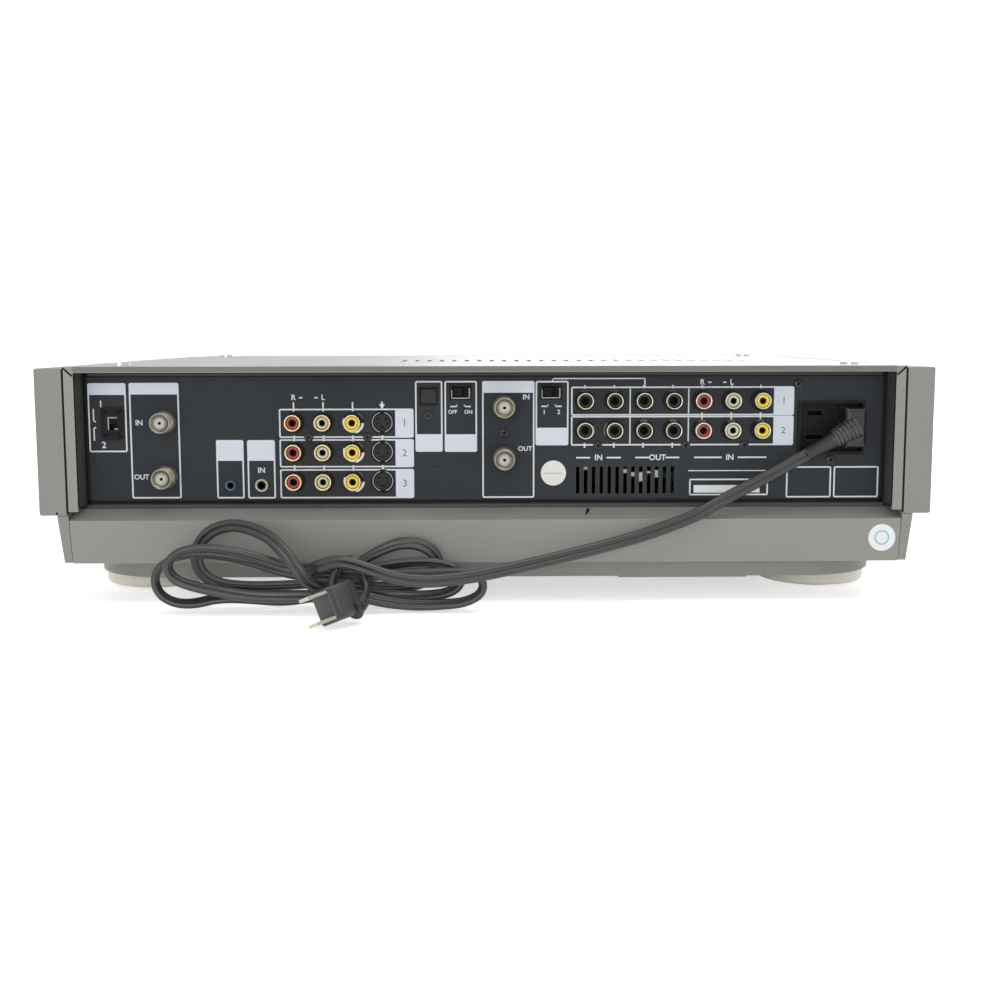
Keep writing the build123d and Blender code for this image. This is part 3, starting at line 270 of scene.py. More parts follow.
finish(
    "champagne_paint", (0.262, 0.261, 0.238), 0.46, bump=0.22, variation=0.035, edge=(0.4, 0.39, 0.36),
    dust_share=0.12, grain_size=1700.0,
)
finish(
    "cover_paint", (0.236, 0.234, 0.213), 0.42, variation=0.035, coat=0.35, coat_rough=0.25,
    edge=(0.3, 0.29, 0.27), dust_share=0.1, **painted,
)
# A darker copy of the cover paint: painted shade on the turned-down rear lip
finish("lip_paint_darkened_for_shade", (0.185, 0.18, 0.165), 0.5, specular=0.3, variation=0.04, **painted)
finish(
    "champagne_board", (0.24, 0.239, 0.222), 0.5, bump=0.3, variation=0.04, edge=(0.37, 0.36, 0.34),
    dust_share=0.12, grain_size=1300.0,
)
finish(
    "charcoal_paint", (0.027, 0.031, 0.036), 0.6, specular=0.2, bump=0.25, variation=0.15,
    edge=(0.09, 0.095, 0.1), scuff_share=0.03, dust_share=0.1, grain_size=1900.0,
)
finish(
    "black_plastic", (0.0078, 0.0083, 0.0084), 0.45, specular=0.12, bump=0.2, variation=0.1,
    edge=(0.06, 0.06, 0.058), dust_share=0.1,
)
finish(
    "socket_black", (0.0045, 0.0045, 0.0048), 0.45, specular=0.1, bump=0.12, variation=0.1,
    edge=(0.03, 0.03, 0.03),
)
# Near-black for seams, paint chips and painted shade
finish("seam_chip_and_shade_black", (0.008, 0.008, 0.008), 0.7, specular=0.1, bump=0.1, variation=0.1)
finish("dull_nut", (0.1, 0.095, 0.08), 0.5, metallic=0.8, bump=0.12, variation=0.1, grain_size=900.0)
finish("shield_grey", (0.3, 0.29, 0.26), 0.4, metallic=0.3, bump=0.1, variation=0.08)
finish(
    "core_grey", (0.016, 0.0165, 0.016), 0.5, specular=0.2, bump=0.12, variation=0.08,
    edge=(0.04, 0.04, 0.04),
)
finish("core_olive", (0.02, 0.021, 0.018), 0.45, specular=0.3, bump=0.12, variation=0.08)
# The pale edge colour is rubbed plating and a painted highlight on the connector rims
finish("nickel", (0.22, 0.205, 0.152), 0.38, bump=0.12, variation=0.08, edge=(0.62, 0.6, 0.5), **plated)
finish("shell_silver", (0.47, 0.445, 0.33), 0.36, bump=0.1, variation=0.05, edge=(0.8, 0.77, 0.62), **plated)
finish("gold_plate", (0.52, 0.41, 0.215), 0.34, bump=0.1, edge=(0.8, 0.68, 0.42), **plated)
finish("bright_steel", (0.72, 0.71, 0.68), 0.25, metallic=1.0, bump=0.1, variation=0.05)
# The lighter edge colour is a painted highlight on the screw heads
finish(
    "screw_black", (0.028, 0.027, 0.024), 0.3, specular=0.35, variation=0.1, edge=(0.16, 0.155, 0.14),
    edge_radius=0.0003,
)
# The light edge colour is a painted highlight on the strain relief's ribs
finish(
    "relief_black", (0.012, 0.0122, 0.0124), 0.32, specular=0.45, variation=0.1, edge=(0.27, 0.27, 0.26),
    edge_radius=0.0007,
)
finish("optical_grey", (0.017, 0.0185, 0.02), 0.4, specular=0.2, bump=0.1, variation=0.08)
# Painted shade along the rear panel's side and bottom edges
finish("panel_shade", (0.02, 0.021, 0.022), 0.7, specular=0.1, variation=0.1)
finish("flange_grey", (0.07, 0.072, 0.072), 0.6, specular=0.2, variation=0.08)
finish("clip_metal", (0.58, 0.555, 0.475), 0.42, metallic=0.6, bump=0.1, variation=0.08)
finish(
    "blade_metal", (0.5, 0.455, 0.36), 0.36, metallic=1.0, variation=0.1, edge=(0.62, 0.57, 0.46),
    edge_radius=0.0003,
)
finish("insulator_grey", (0.45, 0.455, 0.41), 0.4, bump=0.1, variation=0.05)
finish(
    "cream_plastic", (0.94, 0.9, 0.8), 0.42, bump=0.12, variation=0.03, dust_share=0.1,
    edge=(0.86, 0.82, 0.72),
)
finish("pad_rubber", (0.045, 0.044, 0.042), 0.75, bump=0.4, variation=0.1, dust_share=0.3)
finish("red_plastic", (0.29, 0.026, 0.028), 0.32, variation=0.05, edge=(0.42, 0.08, 0.07), **moulded)
finish("white_plastic", (0.62, 0.585, 0.44), 0.32, variation=0.03, edge=(0.86, 0.82, 0.7), **moulded)
finish("yellow_plastic", (0.86, 0.63, 0.02), 0.32, variation=0.04, edge=(0.95, 0.75, 0.15), **moulded)
finish("blue_plastic", (0.035, 0.12, 0.2), 0.34, edge=(0.1, 0.24, 0.34), **moulded)
finish("ivory_ring", (0.4, 0.37, 0.28), 0.38, edge=(0.6, 0.56, 0.45), **moulded)
finish(
    "cord_vinyl", (0.02, 0.0215, 0.023), 0.34, specular=0.6, bump=0.3, variation=0.1, grain_size=1100.0,
    dust_share=0.08,
)
finish("panel_print", (0.72, 0.755, 0.79), 0.55, **flat_ink)
finish("print_blue", (0.69, 0.735, 0.81), 0.55, **flat_ink)
finish("caption_grey", (0.1, 0.11, 0.125), 0.55, **flat_ink)
finish("label_paper", (0.78, 0.77, 0.73), 0.5, dust_share=0.1, **flat_ink)
finish("label_white", (0.8, 0.81, 0.82), 0.35, bump=0.06, variation=0.02)
finish("label_tint", (0.28, 0.55, 0.66), 0.35, bump=0.06, variation=0.05)
finish(
    "front_black", (0.018, 0.018, 0.02), 0.36, specular=0.3, bump=0.1, edge=(0.08, 0.08, 0.085),
    dust_share=0.08,
)
finish("smoked_window", (0.008, 0.0095, 0.012), 0.15, specular=0.3, bump=0.02, variation=0.05, coat=0.1)
finish("lit_segment", (0.1, 0.42, 0.4), 0.3, bump=0.02, variation=0.03)
finish(
    "dial_metal", (0.4, 0.385, 0.35), 0.34, metallic=0.9, bump=0.06, variation=0.02, lines=(1.0, 1.0, 40.0),
    edge=(0.6, 0.58, 0.54),
)
finish(
    "deck_aluminium", (0.62, 0.62, 0.64), 0.36, metallic=1.0, bump=0.12, variation=0.05,
    lines=(1.0, 30.0, 30.0),
)
finish("reel_plastic", (0.09, 0.09, 0.1), 0.4, bump=0.1, variation=0.08, edge=(0.2, 0.2, 0.21))
finish(
    "steel_wheel", (0.55, 0.55, 0.57), 0.28, metallic=1.0, bump=0.1, variation=0.05, lines=(30.0, 30.0, 1.0),
)
finish("board_green", (0.05, 0.17, 0.09), 0.4, bump=0.3, variation=0.15, grain_size=500.0)

node_finishes = {
    "cover_paint": ("top_cover",),
    "champagne_board": ("side_panel_left", "side_panel_right", "side_skirt_left", "side_skirt_right"),
    "champagne_paint": ("base_chassis", "bottom_tub", "service_plate", "front_panel"),
    "bright_steel": ("cover_screws",),
    "screw_black": ("rear_panel_screws", "bottom_screws"),
    "cream_plastic": ("feet",),
    "pad_rubber": ("foot_pads",),
    "charcoal_paint": ("rear_panel",),
    "nickel": ("f_connectors", "rca_shells"),
    "black_plastic": (
        "av_jack_block", "decoder_jack_block", "switch_bodies", "optical_socket", "ac_socket_block",
    ),
    "socket_black": (
        "s_video_sockets", "control_jacks", "channel_switch_lever", "converter_switch_lever",
        "decoder_switch_lever", "rca_inserts_black", "headphone_jack",
    ),
    "optical_grey": ("optical_shutter",),
    "red_plastic": ("rca_inserts_red",),
    "white_plastic": ("rca_inserts_white",),
    "yellow_plastic": ("rca_inserts_yellow",),
    "relief_black": ("cord_connector",),
    "cord_vinyl": ("power_lead", "power_hank", "plug_tail", "mains_plug"),
    "blade_metal": ("plug_blades",),
    "smoked_window": ("display_window",),
    "dial_metal": ("shuttle_ring", "jog_dial"),
    "deck_aluminium": ("mech_deck", "drum_base", "cassette_holder"),
    "steel_wheel": ("head_drum", "capstan_flywheel"),
    "reel_plastic": ("supply_reel_table", "take_up_reel_table"),
    "board_green": ("main_board", "power_supply"),
}
for node in nodes.values():
    node.data.materials.clear()
    node.data.materials.append(finishes["front_black"])
for name, dressed in node_finishes.items():
    for node_name in dressed:
        nodes[node_name].data.materials[0] = finishes[name]


# Pieces
def piece(name, bm, material, body="chassis", smooth=35.0):
    """A finished mesh from bm, merged, with its faces outwards, riding on a CAD body."""
    bmesh.ops.remove_doubles(bm, verts=bm.verts, dist=1e-7)
    bmesh.ops.recalc_face_normals(bm, faces=bm.faces)
    mesh = bpy.data.meshes.new(name)
    bm.to_mesh(mesh)
    bm.free()
    mesh.materials.append(finishes[material])
    mesh.shade_smooth()
    mesh.set_sharp_from_angle(angle=math.radians(smooth))
    obj = new_object(name, mesh)
    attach(obj, body)
    return obj


def turned(bm, profile, centre, axis=(0.0, 1.0, 0.0), steps=48):
    """A profile of (radius, distance along the axis) pairs, spun about an axis through centre, in mm."""
    along = Vector(axis).normalized()
    across = along.orthogonal().normalized()
    middle = Vector([c * mm for c in centre])
    rim = [bm.verts.new(middle + (across * radius + along * distance) * mm) for radius, distance in profile]
    chain = [bm.edges.new(pair) for pair in zip(rim, rim[1:])]
    bmesh.ops.spin(
        bm, geom=rim + chain, cent=middle, axis=along, angle=2 * math.pi, steps=steps, use_merge=True,
    )


def turned_at(places, profile, steps, y=panel_face):
    """A mesh with a profile turned at each (x, z) place of a rear face, in mm."""
    bm = bmesh.new()
    for x, z in places:
        turned(bm, profile, (x, y, z), steps=steps)
    return bm


def block(bm, low, high, edge, segments=2):
    """A box with rounded edges between two corners, in mm."""
    low, high = (Vector([c * mm for c in corner]) for corner in (low, high))
    matrix = Matrix.Translation((low + high) / 2) @ Matrix.Diagonal((*(high - low), 1.0))
    made = bmesh.ops.create_cube(bm, size=1.0, matrix=matrix)
    rims = list({e for v in made["verts"] for e in v.link_edges})
    bmesh.ops.bevel(
        bm, geom=rims, offset=edge * mm, offset_type="OFFSET", segments=segments, profile=0.5,
        affect="EDGES", material=-1,
    )


def sheet_face(bm, x0, x1, z0, z1, y, corner, segments=4):
    """A flat face across Y with rounded corners, in mm."""
    matrix = (
        Matrix.Translation(((x0 + x1) / 2 * mm, y * mm, (z0 + z1) / 2 * mm))
        @ Matrix.Rotation(math.pi / 2, 4, "X")
        @ Matrix.Diagonal(((x1 - x0) * mm, (z1 - z0) * mm, 1.0, 1.0))
    )
    corners = bmesh.ops.create_grid(bm, x_segments=1, y_segments=1, size=0.5, matrix=matrix)["verts"]
    if corner:
        corners = bmesh.ops.bevel(
            bm, geom=corners, offset=corner * mm, offset_type="OFFSET", segments=segments, profile=0.5,
            affect="VERTICES", material=-1,
        )["verts"]
    return corners[0].link_faces[0]


def thicken(bm, faces, way):
    """Gives flat faces a thickness, as a vector in metres."""
    made = bmesh.ops.extrude_face_region(bm, geom=faces)["geom"]
    bmesh.ops.translate(bm, vec=way, verts=[v for v in made if isinstance(v, bmesh.types.BMVert)])


def raise_faces(bm, faces, y0, y1):
    thicken(bm, faces, (0.0, (y1 - y0) * mm, 0.0))


def plate(bm, x0, x1, z0, z1, y0, y1, corner=0.0):
    """A plate with rounded corners standing across Y, in mm."""
    raise_faces(bm, [sheet_face(bm, x0, x1, z0, z1, y0, corner)], y0, y1)


def plates(bm, rows, y0, y1, corner=0.0):
    for row in rows:
        plate(bm, *row, y0, y1, corner)


def outline(bm, x0, x1, z0, z1, y0, y1, line, corner=1.0):
    """A frame of a line's width with rounded corners standing across Y, in mm."""
    face = sheet_face(bm, x0, x1, z0, z1, y0, corner)
    ring = bmesh.ops.inset_region(
        bm, faces=[face], thickness=line * mm, use_boundary=True, use_even_offset=True,
    )
    bmesh.ops.delete(bm, geom=[face], context="FACES_ONLY")
    raise_faces(bm, ring["faces"], y0, y1)


def shape(bm, points, y0, y1):
    """A flat shape through (x, z) points standing across Y, in mm."""
    face = bm.faces.new([bm.verts.new(Vector((x, y0, z)) * mm) for x, z in points])
    raise_faces(bm, [face], y0, y1)


def stroke(bm, x0, z0, x1, z1, width, y0, y1):
    """A straight line of a width between two places standing across Y, in mm."""
    aside = Vector((z0 - z1, x1 - x0)).normalized() * width / 2
    ends = (Vector((x0, z0)), Vector((x1, z1)))
    shape(bm, [ends[0] + aside, ends[0] - aside, ends[1] - aside, ends[1] + aside], y0, y1)


def ring_part(bm, x, z, inner, outer, start, end, y0, y1, steps):
    """Part of a flat ring round a place, between two angles in degrees, standing across Y, in mm."""
    angles = [math.radians(start + (end - start) * i / steps) for i in range(steps + 1)]
    rim = [(x + outer * math.cos(a), z + outer * math.sin(a)) for a in angles]
    rim += [(x + inner * math.cos(a), z + inner * math.sin(a)) for a in reversed(angles)]
    verts = [bm.verts.new(Vector((u, y0, w)) * mm) for u, w in rim]
    last = len(verts) - 1
    corners = ((i, i + 1, last - i - 1, last - i) for i in range(steps))
    raise_faces(bm, [bm.faces.new([verts[i] for i in four]) for four in corners], y0, y1)


def lettering(bm, text, x, z, height, y, bold=0.02):
    """Plain numbers or signs on a face that looks along +Y, in mm."""
    curve = bpy.data.curves.new("lettering", "FONT")
    curve.body = text
    curve.size = height * mm
    curve.align_x = "CENTER"
    curve.align_y = "CENTER"
    curve.extrude = 0.03 * mm
    curve.resolution_u = 3
    curve.offset = bold * height * mm
    holder = bpy.data.objects.new("lettering", curve)
    mesh = bpy.data.meshes.new_from_object(holder)
    mesh.transform(Matrix(((-1, 0, 0, x * mm), (0, 0, 1, y * mm), (0, 1, 0, z * mm), (0, 0, 0, 1))))
    bm.from_mesh(mesh)
    bpy.data.objects.remove(holder)
    bpy.data.curves.remove(curve)
    bpy.data.meshes.remove(mesh)


# Power cord: flat twin flex from the strain relief to the plug, as points in mm and tilts in degrees
lead_route = [
    (-166, 187.5, 76.5, 90), (-151, 188.5, 68.2, 90), (-136.6, 189.8, 60.9, 90), (-122.5, 192.2, 53.8, 90),
    (-109, 197.6, 47, 90), (-93, 199, 40.8, 90), (-76, 200.6, 35.2, 90), (-51, 206, 29.4, 90),
    (-26, 214.5, 25, 90), (-3, 221.6, 21, 90), (16, 225.5, 18.4, 90), (34, 227, 17.6, 90),
    (48, 228, 20.4, 90), (60, 228.8, 25, 90), (72, 228.8, 28.6, 90), (81.5, 226.4, 26.2, 90),
    (88.5, 221.6, 22, 85),
]
front_left_loop = [
    (98, 218.6, 23, 65), (109, 220.6, 27.2, 50), (121, 222.6, 31.4, 40), (132, 222.6, 33.8, 32),
    (143.5, 222.6, 34.4, 28), (153.5, 222.6, 31.8, 22), (158.6, 222.6, 25.4, 16), (155, 222.4, 18.4, 22),
    (146, 222.2, 15, 30), (134, 222, 12.6, 40), (121, 221.8, 10.2, 45), (106, 221.6, 9.3, 50),
    (92, 220.8, 9.6, 55), (78, 219.4, 8.8, 58),
]
outer_right_loop = [
    (64, 218.6, 9.2, 58), (50, 216.8, 5.4, 50), (36, 215.6, 3.7, 42), (22, 215, 3.8, 32),
    (10.5, 215, 4.9, 22), (2.4, 215, 9.4, 18), (1.8, 215, 16.4, 18), (9.5, 214.8, 20.4, 30),
    (26, 214.2, 19.8, 40), (40, 214, 19.2, 50), (56, 214, 18.6, 58), (70, 213.6, 19.6, 58),
    (83, 213.6, 20, 60),
]
low_left_loop = [
    (95, 214.3, 19, 60), (107, 214.6, 22.4, 50), (119, 214.9, 26.2, 40), (131, 214.9, 28.8, 30),
    (143, 214.9, 30, 25), (154, 214.9, 28.8, 16), (162.5, 214.9, 24.8, 10), (166.6, 214.9, 18, 6),
    (164.4, 214.9, 9.8, 6), (156.5, 214.9, 4.9, 12), (146, 214.6, 4.6, 22), (134, 213.8, 7.8, 35),
    (119, 212.8, 7.2, 45), (102, 211.4, 5.4, 55), (86, 210.4, 8, 60),
]
inner_right_loop = [
    (70, 209.4, 9.2, 60), (54, 208.6, 7.8, 55), (40, 207.9, 6.6, 45), (26, 207.4, 6.8, 35),
    (15.5, 207.3, 9.8, 25), (12, 207.3, 16.4, 18), (16.5, 207.3, 22.2, 18), (28, 207.2, 24.4, 30),
    (44, 207, 23.6, 42), (58, 207.4, 20.6, 52), (69, 209.8, 15.8, 48), (77.5, 215.6, 14.2, 28),
]
high_left_loop = [
    (83.5, 223.2, 14.4, 40), (88, 228.2, 17.8, 55), (93, 229, 24.6, 55), (99.2, 226.4, 32.2, 48),
    (107, 219.2, 38.6, 40), (117.4, 212.4, 42.2, 32), (126.5, 208.6, 43.6, 26), (135, 207.2, 42.2, 20),
    (141.8, 207.2, 38.2, 15), (146, 207.1, 32, 12), (147, 207, 25, 12), (144.4, 206.4, 18.2, 16),
    (137.5, 205.8, 13.4, 26), (127, 205, 11.6, 36), (114, 204.4, 11.4, 46), (100, 204.2, 12, 55),
    (86, 204, 13, 60),
]
small_right_loop = [
    (70, 204, 13, 60), (54, 202.2, 10.6, 55), (40, 201.2, 10.2, 45), (30, 200.8, 13.2, 35),
    (24.6, 200.6, 20.6, 25), (27, 200.6, 28.2, 20), (35, 200.6, 32.6, 28), (45, 200.6, 32.8, 38),
    (54, 200.6, 29.2, 50), (62, 200.6, 24.8, 60),
]
waist_wrap_and_tail = [
    (69.5, 200.6, 19.6, 60), (73.6, 200.2, 12.4, 40), (74.6, 203.4, 5.4, 20), (74.4, 211, 3.4, 0),
    (74.2, 219.5, 3.6, -20), (74.8, 226.4, 6.4, -50), (76.2, 228, 12.8, -70), (76, 224.4, 20, -80),
    (72.6, 222, 25.8, -80), (67.6, 221.8, 28.6, -80), (63.4, 222.6, 26.6, -80), (61.2, 224.2, 22, -80),
    (60, 226.4, 17.4, -80), (59.2, 230.4, 13.8, -80), (59.6, 235.6, 11.4, -80), (61.6, 241.4, 9.3, -80),
]
cord_route = lead_route + front_left_loop + outer_right_loop + low_left_loop
cord_route += inner_right_loop + high_left_loop + small_right_loop + waist_wrap_and_tail

flex_radius = 1.72
flex_apart = 1.58
profile_data = bpy.data.curves.new("flex_profile", "CURVE")
profile_data.dimensions = "2D"
profile_line = profile_data.splines.new("POLY")
lobe = [math.radians(a) for a in range(-155, 156, 31)]
profile_points = [(flex_apart + flex_radius * math.cos(a), flex_radius * math.sin(a)) for a in lobe]
profile_points += [(-x, -y) for x, y in profile_points]
profile_line.points.add(len(profile_points) - 1)
for point, (x, y) in zip(profile_line.points, profile_points):
    point.co = (x * mm, y * mm, 0.0, 1.0)
profile_line.use_cyclic_u = True
flex_profile = new_object("flex_profile", profile_data)
flex_profile.hide_render = True
flex_profile.hide_viewport = True

cord_data = bpy.data.curves.new("power_cord", "CURVE")
cord_data.dimensions = "3D"
cord_data.resolution_u = 6
cord_data.twist_mode = "MINIMUM"
cord_data.bevel_mode = "OBJECT"
cord_data.bevel_object = flex_profile
cord_data.use_fill_caps = True
cord_line = cord_data.splines.new("NURBS")
cord_line.points.add(len(cord_route) - 1)
for point, place in zip(cord_line.points, cord_route):
    point.co = (*(Vector(place[:3]) * mm), 1.0)
    point.tilt = math.radians(place[3])
cord_line.order_u = 3
cord_line.use_endpoint_u = True
cord_line.use_smooth = True
power_cord = new_object("power_cord", cord_data)
cord_data.materials.append(finishes["cord_vinyl"])
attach(power_cord, "chassis")
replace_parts(power_cord, "power_lead", "power_hank", "plug_tail")

# Mains plug: moulded body set to one side of its blades, a raised grip, a ribbed sleeve over the cord's end
plug_face = Vector((72.6, 251.0, 11.8)) * mm
blade_axis = Vector((0.62, 0.77, -0.10)).normalized()
blade_row = Vector((-0.486, 0.0, -0.874))
blade_row = (blade_row - blade_axis * blade_row.dot(blade_axis)).normalized()
plug_side = blade_axis.cross(blade_row)
plug_place = Matrix((blade_row, plug_side, blade_axis)).transposed().to_4x4()
plug_place.translation = plug_face
bm = bmesh.new()
block(bm, (-8.6, -8.8, -13.0), (8.5, 3.9, 5.0), edge=1.5, segments=4)
block(bm, (-7.4, -7.6, -10.0), (7.2, 4.3, 1.5), edge=0.9, segments=3)
block(bm, (-6.4, -6.6, -15.5), (6.2, 2.0, -9.0), edge=0.9, segments=3)
bmesh.ops.transform(bm, matrix=plug_place, verts=bm.verts)
sleeve_end = Vector(cord_route[-1][:3])
sleeve_profile = [
    (0, -3.4), (3.5, -3.4), (3.9, -3.0), (3.9, -2.0), (3.6, -1.7), (3.7, -0.2),
    (4.1, 0.1), (4.1, 1.1), (3.8, 1.4), (4.2, 3.0), (4.6, 6.0), (0, 6.0),
]
turned(bm, sleeve_profile, sleeve_end, axis=sleeve_end - Vector(cord_route[-2][:3]), steps=32)
plug = piece("plug_body", bm, "cord_vinyl")
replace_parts(plug, "mains_plug")

# Dark seams between the folded cover, the side panels and the base, and the hem's corner mitres; the black
# strips along the rear panel's side and bottom edges, under the cover's lip and inside the hem's edges are
# painted shade
ink_and_shade_layer = (177.5, 177.56)
header_ink = (177.5, 177.57)
tick = (177.5, 177.58)
thin_shade = (177.5, 177.53)
wall_mark = (192.5, 192.54)
bm = bmesh.new()
for side in (-1, 1):
    stroke(bm, side * 215.15, 47, side * 215.15, 121.3, 1.1, *wall_mark)
    stroke(bm, side * 214.9, 122, side * 210, 117.7, 0.9, *wall_mark)
    # Painted shade: a black strip along each side edge of the rear panel, and one inside each hem's edge
    plate(bm, side * 208.7 - 0.45, side * 208.7 + 0.45, 50.2, 118.9, *ink_and_shade_layer)
    plate(bm, side * 209.5 - 0.25, side * 209.5 + 0.25, 50.5, 119.2, 191.6, 192.3)
# Painted shade: black strips along the rear panel's bottom edge and under the cover's lip
plates(bm, [(-209, 209, 50.9, 51.9), (-208, 208, 116.7, 117.1)], *ink_and_shade_layer)
piece("cover_seams_and_painted_shade", bm, "seam_chip_and_shade_black")

# Painted shade where the rear panel's edges turn, at its sides and bottom; the panel's lower flange; and the
# cover's turned-down rear lip, painted in a darker copy of the cover paint as painted shade
bm = bmesh.new()
for side in (-1, 1):
    plate(bm, side * 209 - 1.9, side * 209 + 1.9, 50.2, 118.9, *thin_shade)
plate(bm, -209, 209, 50.2, 52.6, *thin_shade)
piece("panel_edge_painted_shade", bm, "panel_shade")
bm = bmesh.new()
plate(bm, -209, 209, 48.2, 50.1, 177.5, 177.55)
plate(bm, -208, 208, 117.5, 118.6, *thin_shade)
for side in (-1, 1):
    plate(bm, side * 209.8 - 0.15, side * 209.8 + 0.15, 50.5, 119, 177.6, 190.3)
piece("panel_lower_flange", bm, "flange_grey")
# The lip's paint is darker than the cover paint: painted shade on the turned-down lip
bm = bmesh.new()
lip_half_width = 209.6
lip = [
    (192.5, 119.9), (192.9, 120), (193.05, 122.2), (192.85, 122.5),
    (192.1, 122.5), (191.9, 122.3), (192.5, 122.2),
]
near, far = (
    [bm.verts.new(Vector((side * lip_half_width, y, z)) * mm) for y, z in lip] for side in (-1, 1)
)
for i in range(len(lip) - 1):
    bm.faces.new((near[i], near[i + 1], far[i + 1], far[i]))
bm.faces.new(near)
bm.faces.new(far)
piece("cover_lip", bm, "lip_paint_darkened_for_shade")

# Printed frames, header blocks and generic numbers on the rear panel
frame_line = 0.78
frames = [
    (187.2, 207, 77.8, 113.7), (159.8, 185.6, 53.4, 113.8), (126.9, 141.2, 53.3, 84),
    (110.5, 125, 53.2, 83.9), (38, 108.1, 85, 100.2), (38, 108.1, 69.5, 84.3),
    (38, 108.1, 53.2, 68.6), (22.9, 37.1, 77.6, 114.5), (4.9, 21.8, 77.5, 114.5),
    (-25.1, 2.2, 53.2, 114.4), (-42.9, -25.7, 80.8, 114.4), (-160.9, -44.2, 96.3, 111.4),
    (-160.9, -44.2, 80.6, 96.1), (-181.4, -157.7, 52.9, 69.4), (-206.4, -182.7, 52.9, 69.4),
]
header_blocks = [
    (187.2, 207, 107.6, 113.7), (159.8, 185.6, 107.8, 113.8), (126.9, 141.2, 73.1, 84),
    (110.5, 125, 73.1, 83.9), (38, 47.6, 85, 100.2), (38, 47.6, 69.5, 84.3),
    (38, 47.6, 53.2, 68.6), (22.9, 37.1, 77.6, 86.8), (4.9, 21.8, 77.5, 86.7),
    (-25.1, 2.2, 108.3, 114.4), (-42.9, -25.7, 80.8, 90), (-160.9, -150.3, 96.3, 111.4),
    (-160.9, -150.3, 80.6, 96.1),
]
bracket = [(-34.9, -34.2, 114.4, 115.9), (-82.9, -34.2, 115.3, 115.9), (-83, -82.3, 111.4, 115.9)]
bm = bmesh.new()
for row in frames:
    outline(bm, *row, *ink_and_shade_layer, frame_line)
for x in (-75.1, -105.7):
    plates(bm, [(x - 0.33, x + 0.33, 97.3, 110.4), (x - 0.33, x + 0.33, 81.6, 95.1)], *ink_and_shade_layer)
plates(bm, bracket, *ink_and_shade_layer)
piece("panel_lines", bm, "panel_print")

bm = bmesh.new()
plates(bm, header_blocks, *header_ink, corner=1)
piece("header_blocks", bm, "print_blue")

# Short ticks between the jack rows and over the jacks, arrows, and the rules round the signs
bm = bmesh.new()
for x in line_jack_x:
    plates(bm, [(x - 0.45, x + 0.45, 83.2, 86.2), (x - 0.45, x + 0.45, 67.6, 70.6)], *tick)
for x in line_jack_x[:3]:
    plate(bm, x - 0.4, x + 0.4, 98.8, 103.6, *tick)
stroke(bm, 54.35, 103.9, 54.35, 102.6, 0.9, *tick)
shape(bm, [(52.9, 102.6), (55.8, 102.6), (54.35, 99.6)], *tick)
for i, x in enumerate(decoder_jack_x):
    half, z0, z1 = (0.42, 94.2, 97.8) if i > 3 else (0.4, 79.4, 82)
    plates(bm, [(x - 0.35, x + 0.35, 110.4, 112.2), (x - half, x + half, z0, z1)], *tick)
for x0, x1 in (
    (-54.4, -47), (-70.5, -63), (-85.3, -78), (-101.2, -94), (-123.5, -109), (-147, -132),
):
    plate(bm, x0, x1, 73.85, 74.65, *ink_and_shade_layer)
for x in (13.4, -34):
    for side in (-1, 1):
        stroke(bm, x + side * 1.9, 101.2, x + side * 5.3, 101.2, 0.7, *tick)
        shape(bm, [(x + side * 1.6, 102.4), (x + side * 2.9, 101.4), (x + side * 1.9, 100.85)], *tick)
for z0, z1, tip in ((100.4, 94.2, 93.2), (83.8, 90.2, 91.2)):
    stroke(bm, 204.3, z0, 204.3, z1, 0.7, *tick)
    shape(bm, [(203, z1), (204.65, z1), (203.4, tip)], *tick)
for x, z in ((96.6, 105.6), (88.6, 105.6), (-116.6, 113.2), (-124.4, 113.2)):
    plate(bm, x - 0.9, x + 0.9, z, z + 0.7, *ink_and_shade_layer)
piece("panel_ticks", bm, "panel_print")

bm = bmesh.new()
for text, x, z, size in (
    ("1", 200.4, 102.8, 4.6), ("2", 199.4, 81.4, 4.6), ("IN", 180.8, 93, 3.9), ("OUT", 180.4, 64.6, 3.7),
    ("IN", 117.8, 68, 3.9), ("R", 100.4, 106, 4), ("L", 85, 106, 4), ("IN", -20.8, 106, 3.7),
    ("OUT", -20.2, 79, 3.5), ("OFF", 17.6, 98.3, 2.7), ("ON", 9.4, 98.3, 2.7), ("1", -30.2, 98.2, 3.2),
    ("2", -37.8, 98.2, 3.2), ("R", -112.7, 113.6, 3.9), ("L", -128.1, 113.6, 3.9), ("IN", -58.8, 74.2, 4.2),
    ("OUT", -89.7, 74.2, 4.2), ("IN", -127.8, 74.2, 4.2),
):
    lettering(bm, text, x, z, size, 177.54)
piece("panel_marks", bm, "panel_print", smooth=20)

bm = bmesh.new()
for text, x, z, size in (
    ("1", 42.8, 92.6, 5.4), ("2", 42.8, 76.9, 5.4), ("3", 42.8, 60.9, 5.4),
    ("1", -155.6, 103.8, 5), ("2", -155.6, 88.3, 5),
):
    lettering(bm, text, x, z, size, 177.57, bold=0)
piece("block_numbers", bm, "caption_grey", smooth=20)

